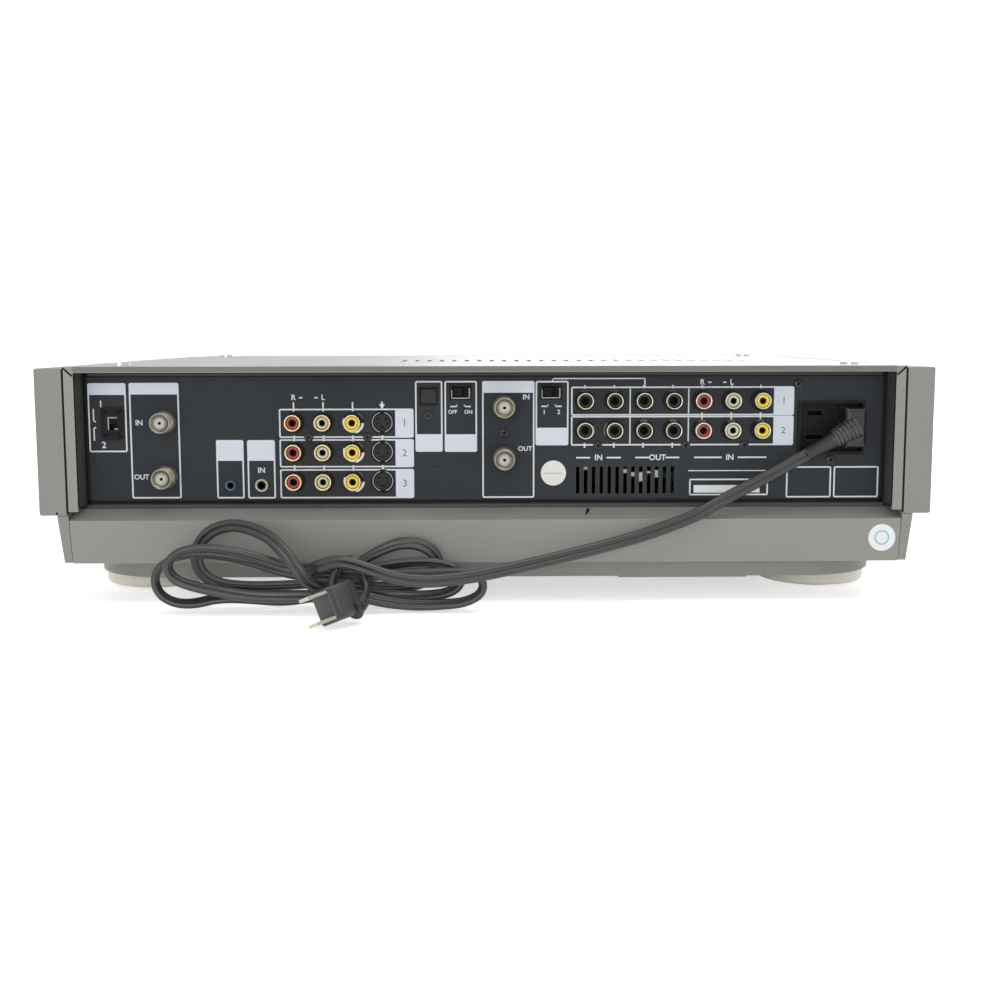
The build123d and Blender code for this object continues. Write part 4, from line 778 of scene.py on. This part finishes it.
# Bare stickers
bm = turned_at([(-35.1, 66.2)], [(0, 0), (6.6, 0), (6.6, 0.08), (0, 0.08)], 64)
piece("round_paper_label", bm, "label_paper")
bm = bmesh.new()
plate(bm, -39.7, -30.6, 66, 66.25, 177.58, 177.62)
piece("round_label_rule", bm, "caption_grey")
sticker_place = [(-204.8, 33.7)]
bm = turned_at(sticker_place, [(0, 0), (7, 0), (7, 0.08), (0, 0.08)], 64, y=base_rear)
piece("round_white_sticker", bm, "label_white")
ring_profile = [(3, 0.08), (3.9, 0.08), (3.9, 0.11), (3, 0.11), (3, 0.08)]
bm = turned_at(sticker_place, ring_profile, 64, y=base_rear)
piece("sticker_ring", bm, "label_tint")
bm = bmesh.new()
plate(bm, -149.7, -106, 67, 67.5, *ink_and_shade_layer)
outline(bm, -148.2, -106.6, 54.2, 63, *header_ink, 0.8, corner=0.3)
piece("rating_plate_lines", bm, "panel_print")
bm = bmesh.new()
plate(bm, -143.8, -109, 55.6, 59.6, *tick)
piece("rating_plate_strip", bm, "label_white")

# Aerial connectors: thin nut, threaded barrel, turned face with a small contact hole
thread_pitch = 0.8
barrel_profile = [(0, 2), (4.7, 2)]
for i in range(11):
    at = 2.3 + i * thread_pitch
    barrel_profile += [(4.78, at), (5.18, at + 0.28), (5.18, at + 0.42), (4.78, at + 0.7)]
barrel_profile += [(4.8, 11.3), (5.3, 11.45), (5.3, 11.8), (5.1, 12), (4.75, 12), (4.55, 11.7)]
barrel_profile += [(3.9, 11.2), (3.8, 10.7), (3.2, 10.4), (3.1, 10.9), (2.75, 10.9), (2.7, 9), (0, 9)]
nut_profile = [(4.7, 0), (6.1, 0), (6.2, 0.3), (6.2, 1.3), (5.9, 1.6), (4.7, 1.6)]
contact_profile = [(0, 9.7), (0.78, 9.7), (0.78, 11.1), (0.5, 11.2), (0, 11.2)]
insulator_profile = [
    (0, 9), (2.6, 9), (2.6, 11.3), (2.4, 11.55), (0.95, 11.6), (0.8, 11.4), (0.8, 9.6), (0, 9.6),
]
barrels = piece("aerial_connectors", turned_at(aerial_places, barrel_profile, 56), "nickel")
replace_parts(barrels, "f_connectors")
nuts = piece("aerial_nuts", turned_at(aerial_places, nut_profile, 48), "dull_nut")
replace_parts(nuts, "f_connectors")
piece("aerial_contacts", turned_at(aerial_places, contact_profile, 20), "socket_black")
piece("aerial_insulators", turned_at(aerial_places, insulator_profile, 40), "insulator_grey")

# Phono jacks: rolled shell, coloured insert round a dark bore, earth clips by the yellow ones, and a painted
# shade ring round each jack
shell_profile = [
    (3.2, -7), (3.9, -7), (3.9, 0.6), (4.15, 0.65), (4.2, 6.3), (4.35, 6.55), (4.32, 6.8),
    (4.15, 6.97), (3.9, 7), (3.6, 6.92), (3.4, 6.7), (3.22, 6.2), (3.2, -7),
]
thin_shell_profile = [
    (3.45, -7), (3.9, -7), (3.9, 0.6), (4.15, 0.65), (4.15, 6.45), (4.3, 6.6), (4.3, 6.8),
    (4.15, 6.97), (3.95, 7), (3.72, 6.9), (3.55, 6.6), (3.45, 6.1), (3.45, -7),
]
insert_profile = [
    (0, -6), (3.18, -6), (3.18, 6.1), (3.1, 6.35), (2.85, 6.45), (2.2, 6.4),
    (1.85, 6.1), (1.68, 5.7), (1.68, -2), (0, -2),
]
narrow_insert_profile = [
    (0, -6), (3.18, -6), (3.18, 5.2), (2.8, 5.3), (2.75, 6.3), (2.6, 6.5), (2.1, 6.5),
    (1.75, 6.2), (1.6, 5.8), (1.6, -2), (0, -2),
]
dark_insert_profile = [
    (0, -6), (3.4, -6), (3.4, 4.4), (3.2, 4.7), (2.4, 4.7), (2.1, 4.5), (2, 4.2), (2, -2), (0, -2),
]
bore_profile = [(0, -1.9), (1.35, -1.9), (1.35, 5.3), (1.42, 5.5), (1.55, 5.55), (1.58, -1.95), (0, -1.95)]
shade_ring_profile = [(3.92, 0), (5.3, 0), (5.4, 0.06), (5.3, 0.12), (3.92, 0.12)]
red_places, white_places, yellow_places = (
    [(line_jack_x[i], z) for z in line_jack_z] + [(decoder_jack_x[i + 4], z) for z in decoder_jack_z]
    for i in range(3)
)
black_places = [(x, z) for x in decoder_jack_x[:4] for z in decoder_jack_z]
coloured_places = red_places + white_places + yellow_places
for name, places, material, profile in (
    ("gold_phono_shells", [p for p in coloured_places if p[0] > 0], "gold_plate", shell_profile),
    ("silver_phono_shells", [p for p in coloured_places if p[0] < 0], "shell_silver", shell_profile),
    ("thin_phono_shells", black_places, "shell_silver", thin_shell_profile),
):
    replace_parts(piece(name, turned_at(places, profile, 48), material), "rca_shells")
for colour, places, material, profile in (
    ("red", red_places, "red_plastic", insert_profile),
    ("white", white_places, "white_plastic", narrow_insert_profile),
    ("yellow", yellow_places, "yellow_plastic", insert_profile),
    ("black", black_places, "core_olive", dark_insert_profile),
):
    inserts = piece(f"{colour}_phono_inserts", turned_at(places, profile, 40), material)
    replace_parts(inserts, f"rca_inserts_{colour}")
jack_places = coloured_places + black_places
piece("phono_bores", turned_at(jack_places, bore_profile, 28), "socket_black")
# Painted shade: a thin black ring round each jack
piece("jack_painted_shade_rings", turned_at(jack_places, shade_ring_profile, 40), "seam_chip_and_shade_black")
bm = bmesh.new()
for x, z in yellow_places[:3]:
    ring_part(bm, x, z, 4.75, 5.25, -125, 25, 178.1, 178.25, steps=28)
    ring_part(bm, x, z, 4.6, 5.9, -176, -105, 178.1, 178.3, steps=16)
piece("earth_clips", bm, "clip_metal")
thin_tab = (178.1, 178.2)
thick_tab = (178.1, 178.25)
bm = bmesh.new()
for x, z in yellow_places[:3]:
    ring_part(bm, x, z, 5.2, 5.8, 122, 158, *thin_tab, steps=12)
for i, (x, z) in enumerate(black_places):
    if i % 2 == 0:
        plate(bm, x - 1.8, x + 2.2, z + 4.9, z + 5.3, *thin_tab)
    elif i > 4:
        ring_part(bm, x, z, 4.6, 5.6, 72, 112, *thin_tab, steps=10)
ring_part(bm, *black_places[1], 4.6, 5.4, 150, 212, *thick_tab, steps=14)
ring_part(bm, *black_places[3], 4.7, 5.5, -30, 48, *thick_tab, steps=16)
for x, z in (red_places[4], white_places[4], yellow_places[4]):
    ring_part(bm, x, z, 4.6, 5.4, 66, 112, *thin_tab, steps=10)
piece("earth_tabs", bm, "dull_nut")

# Round video sockets: rim, sunk metal shield in two arcs, core with four pin holes and a key slot
video_places = [(line_jack_x[3], z) for z in line_jack_z]
rim_profile = [
    (0, -7), (5.6, -7), (5.6, 0.02), (6.15, 0.04), (6.15, 0.4), (5.95, 0.62), (5.6, 0.62),
    (5.5, 0.4), (5.5, -4.9), (0, -4.9),
]
core_profile = [(0, -4.9), (4.6, -4.9), (4.6, 0.02), (4.42, 0.2), (0, 0.2)]
pin_hole_profile = [(0, 0.19), (0.8, 0.19), (0.8, 0.22), (0, 0.22)]
pin_holes = [(x + across, z + up) for x, z in video_places for across, up in ((2.2, 1.86), (2.5, -0.74))]
pin_holes += [(2 * line_jack_x[3] - x, z) for x, z in pin_holes]
shields = bmesh.new()
marks = turned_at(pin_holes, pin_hole_profile, 20)
for x, z in video_places:
    for first, last in ((104, 256), (-76, 76)):
        ring_part(shields, x, z, 4.98, 5.38, first, last, 173.5, 177.85, steps=28)
    plate(marks, x - 1.3, x + 1.3, z - 3.3, z - 1.8, 177.68, 177.73, corner=0.3)
    plate(marks, x - 0.9, x + 0.9, z + 4, z + 6, 177.6, 177.9, corner=0.3)
    plate(marks, x - 0.6, x + 0.6, z - 5.6, z - 4.4, 177.5, 177.74, corner=0.2)
video = piece("video_sockets", turned_at(video_places, rim_profile, 56), "socket_black")
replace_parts(video, "s_video_sockets")
piece("video_socket_cores", turned_at(video_places, core_profile, 56), "core_grey")
piece("video_socket_shields", shields, "shield_grey")
piece("video_socket_marks", marks, "socket_black")

# Control jacks: coloured rings round a dark bore
for name, x, ring, bore, material in (
    ("blue_control_ring", 134, 2.9, 1.5, "blue_plastic"),
    ("ivory_control_ring", 117.8, 3.6, 1.9, "ivory_ring"),
):
    profile = [
        (bore, 0), (ring + 0.02, 0), (ring + 0.02, 0.95), (ring - 0.25, 1.22),
        (bore + 0.5, 1.22), (bore + 0.12, 1.05), (bore, 0.7), (bore, 0),
    ]
    piece(name, turned_at([(x, 60.2)], profile, 40), material)

# Raised plate round the channel switch
bm = bmesh.new()
outline(bm, 188.3, 200.9, 84, 101.6, 177.5, 178, 3.4, corner=2.5)
plates(bm, [(191.6, 197.6, 87.3, 89.2), (191.6, 197.6, 96.4, 98.3)], 177.5, 178)
piece("channel_switch_plate", bm, "black_plastic")

# Painted highlights: light grey strips on the edges of the slide switch windows and the channel switch,
# where they catch the light
bm = bmesh.new()
for x, z in ((13.4, 108.8), (-33.7, 108.9)):
    left_edge_highlight = (x - 4.9, x - 4.3, z - 3.2, z + 1.8)
    right_edge_highlight = (x + 4.4, x + 4.8, z - 3.2, z + 1)
    plates(bm, [(x - 4.7, x + 4.7, z - 3.5, z - 3), left_edge_highlight, right_edge_highlight], 177.5, 177.72)
channel_edge_highlights = [(192.2, 196.2, 95.5, 96.1), (196.3, 196.9, 89.6, 96.1), (191.8, 193.6, 89.6, 90.2)]
plates(bm, channel_edge_highlights, 177.6, 178.05)
piece("switch_window_edge_highlights", bm, "shield_grey")

# Rear panel screws: low domed heads with crossed slots
panel_screws = [(x, 85.35) for x in (92.73, 62.03)] + [(x, 80.7) for x in (-58.26, -104.31, -135.01)]
panel_screws += [(30.2, 96.6), (-9.3, 87.55), (-180.7, 72.9), (-162.9, 112.8)]
screw_profile = [
    (0, -5), (1.2, -5), (1.2, 0), (2.4, 0), (2.4, 0.55), (2.2, 1), (1.6, 1.32), (0.8, 1.4), (0, 1.4),
]
slot_reach = 1.35
slots = bmesh.new()
for i, (x, z) in enumerate(panel_screws):
    for angle in (0.5 + i, 0.5 + i + math.pi / 2):
        reach = Vector((math.cos(angle), math.sin(angle))) * slot_reach
        stroke(slots, x - reach.x, z - reach.y, x + reach.x, z + reach.y, 0.75, 178.6, 178.95)
screws = piece("panel_screws", turned_at(panel_screws, screw_profile, 36), "screw_black")
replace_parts(screws, "rear_panel_screws")
piece("panel_screw_slots", slots, "socket_black")

# Ends of the wire looms seen through the vent slots
bm = bmesh.new()
for x, z0, z1 in (
    (-72.8, 65.8, 67.9), (-76.95, 64, 66.2), (-81.1, 61.3, 66.2),
    (-85.25, 65.6, 66.8), (-89.4, 63.4, 67.3), (-52, 67.6, 69.4),
):
    block(bm, (x - 1.3, 171.5, z0), (x + 1.3, 174.5, z1), edge=0.3)
piece("loom_connectors", bm, "cream_plastic")

# Chips in the paint: one by a side panel's foot, one on the slope over the rear wall
bm = bmesh.new()
shape(bm, [(219.9, 47.9), (221, 48.2), (221.2, 47), (220.2, 46.8)], *wall_mark)
slope_start = Vector((0, 177.5, 48))
slope = Vector((0, 15, -4.4))
chip_lift = Vector((0, 0, 0.05))
chip_corners = [
    bm.verts.new((Vector((x, 0, 0)) + slope_start + slope * down + chip_lift) * mm)
    for x, down in ((-52.8, 0.04), (-54.4, 0.2), (-51.9, 0.62), (-51.3, 0.58))
]
thicken(bm, [bm.faces.new(chip_corners)], -chip_lift * 2 * mm)
piece("paint_chips", bm, "seam_chip_and_shade_black")

# Front: signs on the button caps, one piece for each button that moves
sign = (-179.48, -179.54)
transport_keys = ("record", "rewind", "stop", "play", "pause", "fast_forward")
key_first_x = -60
key_pitch = 25
key_z = 58
key_places = {key: (key_first_x + i * key_pitch, key_z) for i, key in enumerate(transport_keys)}
key_places["power"] = (-186, 98)
key_places["eject"] = (-186, 76)


def arrow(bm, x, z, reach, side):
    """A triangle that points along +X for a side of 1, or -X for -1."""
    shape(bm, [(x - side * reach, z - reach), (x - side * reach, z + reach), (x + side * reach, z)], *sign)


for key, (x, z) in key_places.items():
    bm = bmesh.new()
    if key == "record":
        ring_part(bm, x, z, 0.05, 1.5, 0, 360, *sign, steps=32)
    elif key == "stop":
        plate(bm, x - 1.4, x + 1.4, z - 1.4, z + 1.4, *sign)
    elif key == "play":
        arrow(bm, x, z, 1.6, 1)
    elif key == "pause":
        for middle in (x - 0.9, x + 0.9):
            plate(bm, middle - 0.45, middle + 0.45, z - 1.5, z + 1.5, *sign)
    elif key in ("rewind", "fast_forward"):
        for offset in (-1.3, 1.3):
            arrow(bm, x + offset, z, 1.25, -1 if key == "rewind" else 1)
    elif key == "power":
        ring_part(bm, x, z, 1.6, 2, 122, 418, *sign, steps=32)
        plate(bm, x - 0.2, x + 0.2, z + 0.4, z + 2.3, *sign)
    else:
        shape(bm, [(x - 2, z - 0.5), (x + 2, z - 0.5), (x, z + 1.74)], *sign)
        plate(bm, x - 2, x + 2, z - 1.7, z - 1, *sign)
    piece(f"{key}_sign", bm, "panel_print", body=f"{key}_button")

# Front: display frame and figures, door line, marks round the shuttle ring
bm = bmesh.new()
outline(bm, -33, 117, 80, 108, front_face + 0.02, front_face - 0.05, 1.3, corner=0.6)
piece("display_frame", bm, "front_black")
glass = (-177.48, -177.53)
digit_parts = {"0": "abcdef", "1": "bc", "2": "abged"}
digit_height = 9
digit_width = 4.8
digit_z = 94.5
gap = 0.5
bar_width = 0.8
bm = bmesh.new()
for i, digit in enumerate("0012"):
    x = 46 + i * 8.2 + (3.4 if i > 1 else 0)
    left, right = x - digit_width / 2, x + digit_width / 2
    low, high = digit_z - digit_height / 2, digit_z + digit_height / 2
    bars = {
        "a": (left + gap, high, right - gap, high),
        "b": (right, high - gap, right, digit_z + gap),
        "c": (right, digit_z - gap, right, low + gap),
        "d": (left + gap, low, right - gap, low),
        "e": (left, digit_z - gap, left, low + gap),
        "f": (left, high - gap, left, digit_z + gap),
        "g": (left + gap, digit_z, right - gap, digit_z),
    }
    for part in digit_parts[digit]:
        stroke(bm, *bars[part], bar_width, *glass)
plates(bm, [(59.4, 60.4, z - 0.5, z + 0.5) for z in (92.4, 96.6)], *glass)
plates(bm, [(-22 + i * 2.3, -20.6 + i * 2.3, 86, 88.4) for i in range(24)], *glass)
for x in (84, 88):
    shape(bm, [(x, 92), (x, 97), (x + 3.2, 94.5)], *glass)
outline(bm, -22, 2, 93.2, 100.6, *glass, 0.5, corner=0.8)
for x in (-16, -4):
    ring_part(bm, x, 96.9, 1, 1.7, 0, 360, *glass, steps=24)
piece("display_figures", bm, "lit_segment")
bm = bmesh.new()
plate(bm, -122, -63, 86.1, 86.7, front_face + 0.32, front_face + 0.1)
piece("door_rule", bm, "shield_grey", body="cassette_door")
dial_x = 168
dial_z = 86
bm = bmesh.new()
for i in range(-6, 7):
    angle = math.radians(90 + i * 13)
    across, up = math.cos(angle), math.sin(angle)
    inner, outer = 30.5, 33 if i % 3 == 0 else 31.8
    ends = (dial_x + inner * across, dial_z + inner * up, dial_x + outer * across, dial_z + outer * up)
    stroke(bm, *ends, 0.5, front_face + 0.02, front_face - 0.04)
piece("shuttle_scale", bm, "panel_print")

# Shuttle ring and jog dial: grip ridges, turned grooves and a finger dimple
ridge_count = 90
bm = bmesh.new()
for i in range(ridge_count):
    turn = Matrix.Rotation(2 * math.pi * i / ridge_count, 4, "Y")
    ridge = bmesh.new()
    block(ridge, (27.9, -183.6, -0.45), (28.35, -178.6, 0.45), edge=0.18)
    place = Matrix.Translation(Vector((dial_x, 0, dial_z)) * mm) @ turn
    bmesh.ops.transform(ridge, matrix=place, verts=ridge.verts)
    loose = bpy.data.meshes.new("ridge")
    ridge.to_mesh(loose)
    ridge.free()
    bm.from_mesh(loose)
    bpy.data.meshes.remove(loose)
piece("shuttle_ridges", bm, "dial_metal", body="shuttle_ring")
front_way = (0, -1, 0)
band_profile = [(21.6, 0.02), (24.4, 0.02), (24.2, 0.12), (21.8, 0.12), (21.6, 0.02)]
bm = bmesh.new()
turned(bm, band_profile, (dial_x, -185.5, dial_z), axis=front_way, steps=96)
piece("shuttle_band", bm, "front_black", body="shuttle_ring")
dimple_profile = [(0, 0), (3.6, 0.02), (4.1, 0.04), (4.5, 0.02), (4.6, -0.2), (0, -0.2)]
bm = bmesh.new()
turned(bm, dimple_profile, (dial_x + 9, -192.45, dial_z + 6), axis=front_way, steps=48)
piece("jog_dimple", bm, "front_black", body="jog_dial")


# Floor and light
def background_rays(tree):
    """1 where the camera, a reflection or a clear piece sees it, 0 for the light that it gives."""
    rays = tree.nodes.new("ShaderNodeLightPath").outputs
    seen = math_node(tree, "MAXIMUM", rays["Is Camera Ray"], rays["Is Glossy Ray"])
    return math_node(tree, "MAXIMUM", seen, rays["Is Transmission Ray"])


bm = bmesh.new()
bmesh.ops.create_grid(bm, x_segments=1, y_segments=1, size=6.0)
floor_mesh = bpy.data.meshes.new("floor")
bm.to_mesh(floor_mesh)
bm.free()
floor = new_object("floor", floor_mesh)
floor_paint = bpy.data.materials.new("floor_paint")
floor_paint.use_nodes = True
tree = floor_paint.node_tree
shader = tree.nodes["Principled BSDF"]
shader.inputs["Base Color"].default_value = (0.9, 0.9, 0.9, 1.0)
shader.inputs["Roughness"].default_value = 0.6
shader.inputs["Emission Color"].default_value = (1.0, 1.0, 1.0, 1.0)
tree.links.new(math_node(tree, "MULTIPLY", background_rays(tree), 0.6), shader.inputs["Emission Strength"])
floor_mesh.materials.append(floor_paint)

world = bpy.data.worlds.new("studio")
bpy.context.scene.world = world
world.use_nodes = True
tree = world.node_tree
background = tree.nodes["Background"]
background.inputs["Color"].default_value = (1.0, 1.0, 1.0, 1.0)
strength = math_node(tree, "ADD", math_node(tree, "MULTIPLY", background_rays(tree), 0.35), 0.65)
tree.links.new(strength, background.inputs["Strength"])

for name, place, target, size, power in (
    ("rear_light", (0.25, 1.8, 0.16), (0.0, 0.15, 0.04), 1.0, 8.0),
    ("top_light", (-0.5, 0.3, 1.8), (0.0, 0.0, 0.05), 1.6, 15.0),
    ("front_light", (-0.5, -1.7, 0.7), (0.0, -0.1, 0.05), 1.5, 8.0),
):
    lamp = bpy.data.lights.new(name, "AREA")
    lamp.shape = "DISK"
    lamp.size = size
    lamp.energy = power
    light = new_object(name, lamp)
    light.location = place
    light.rotation_euler = (Vector(target) - Vector(place)).to_track_quat("-Z", "Y").to_euler()
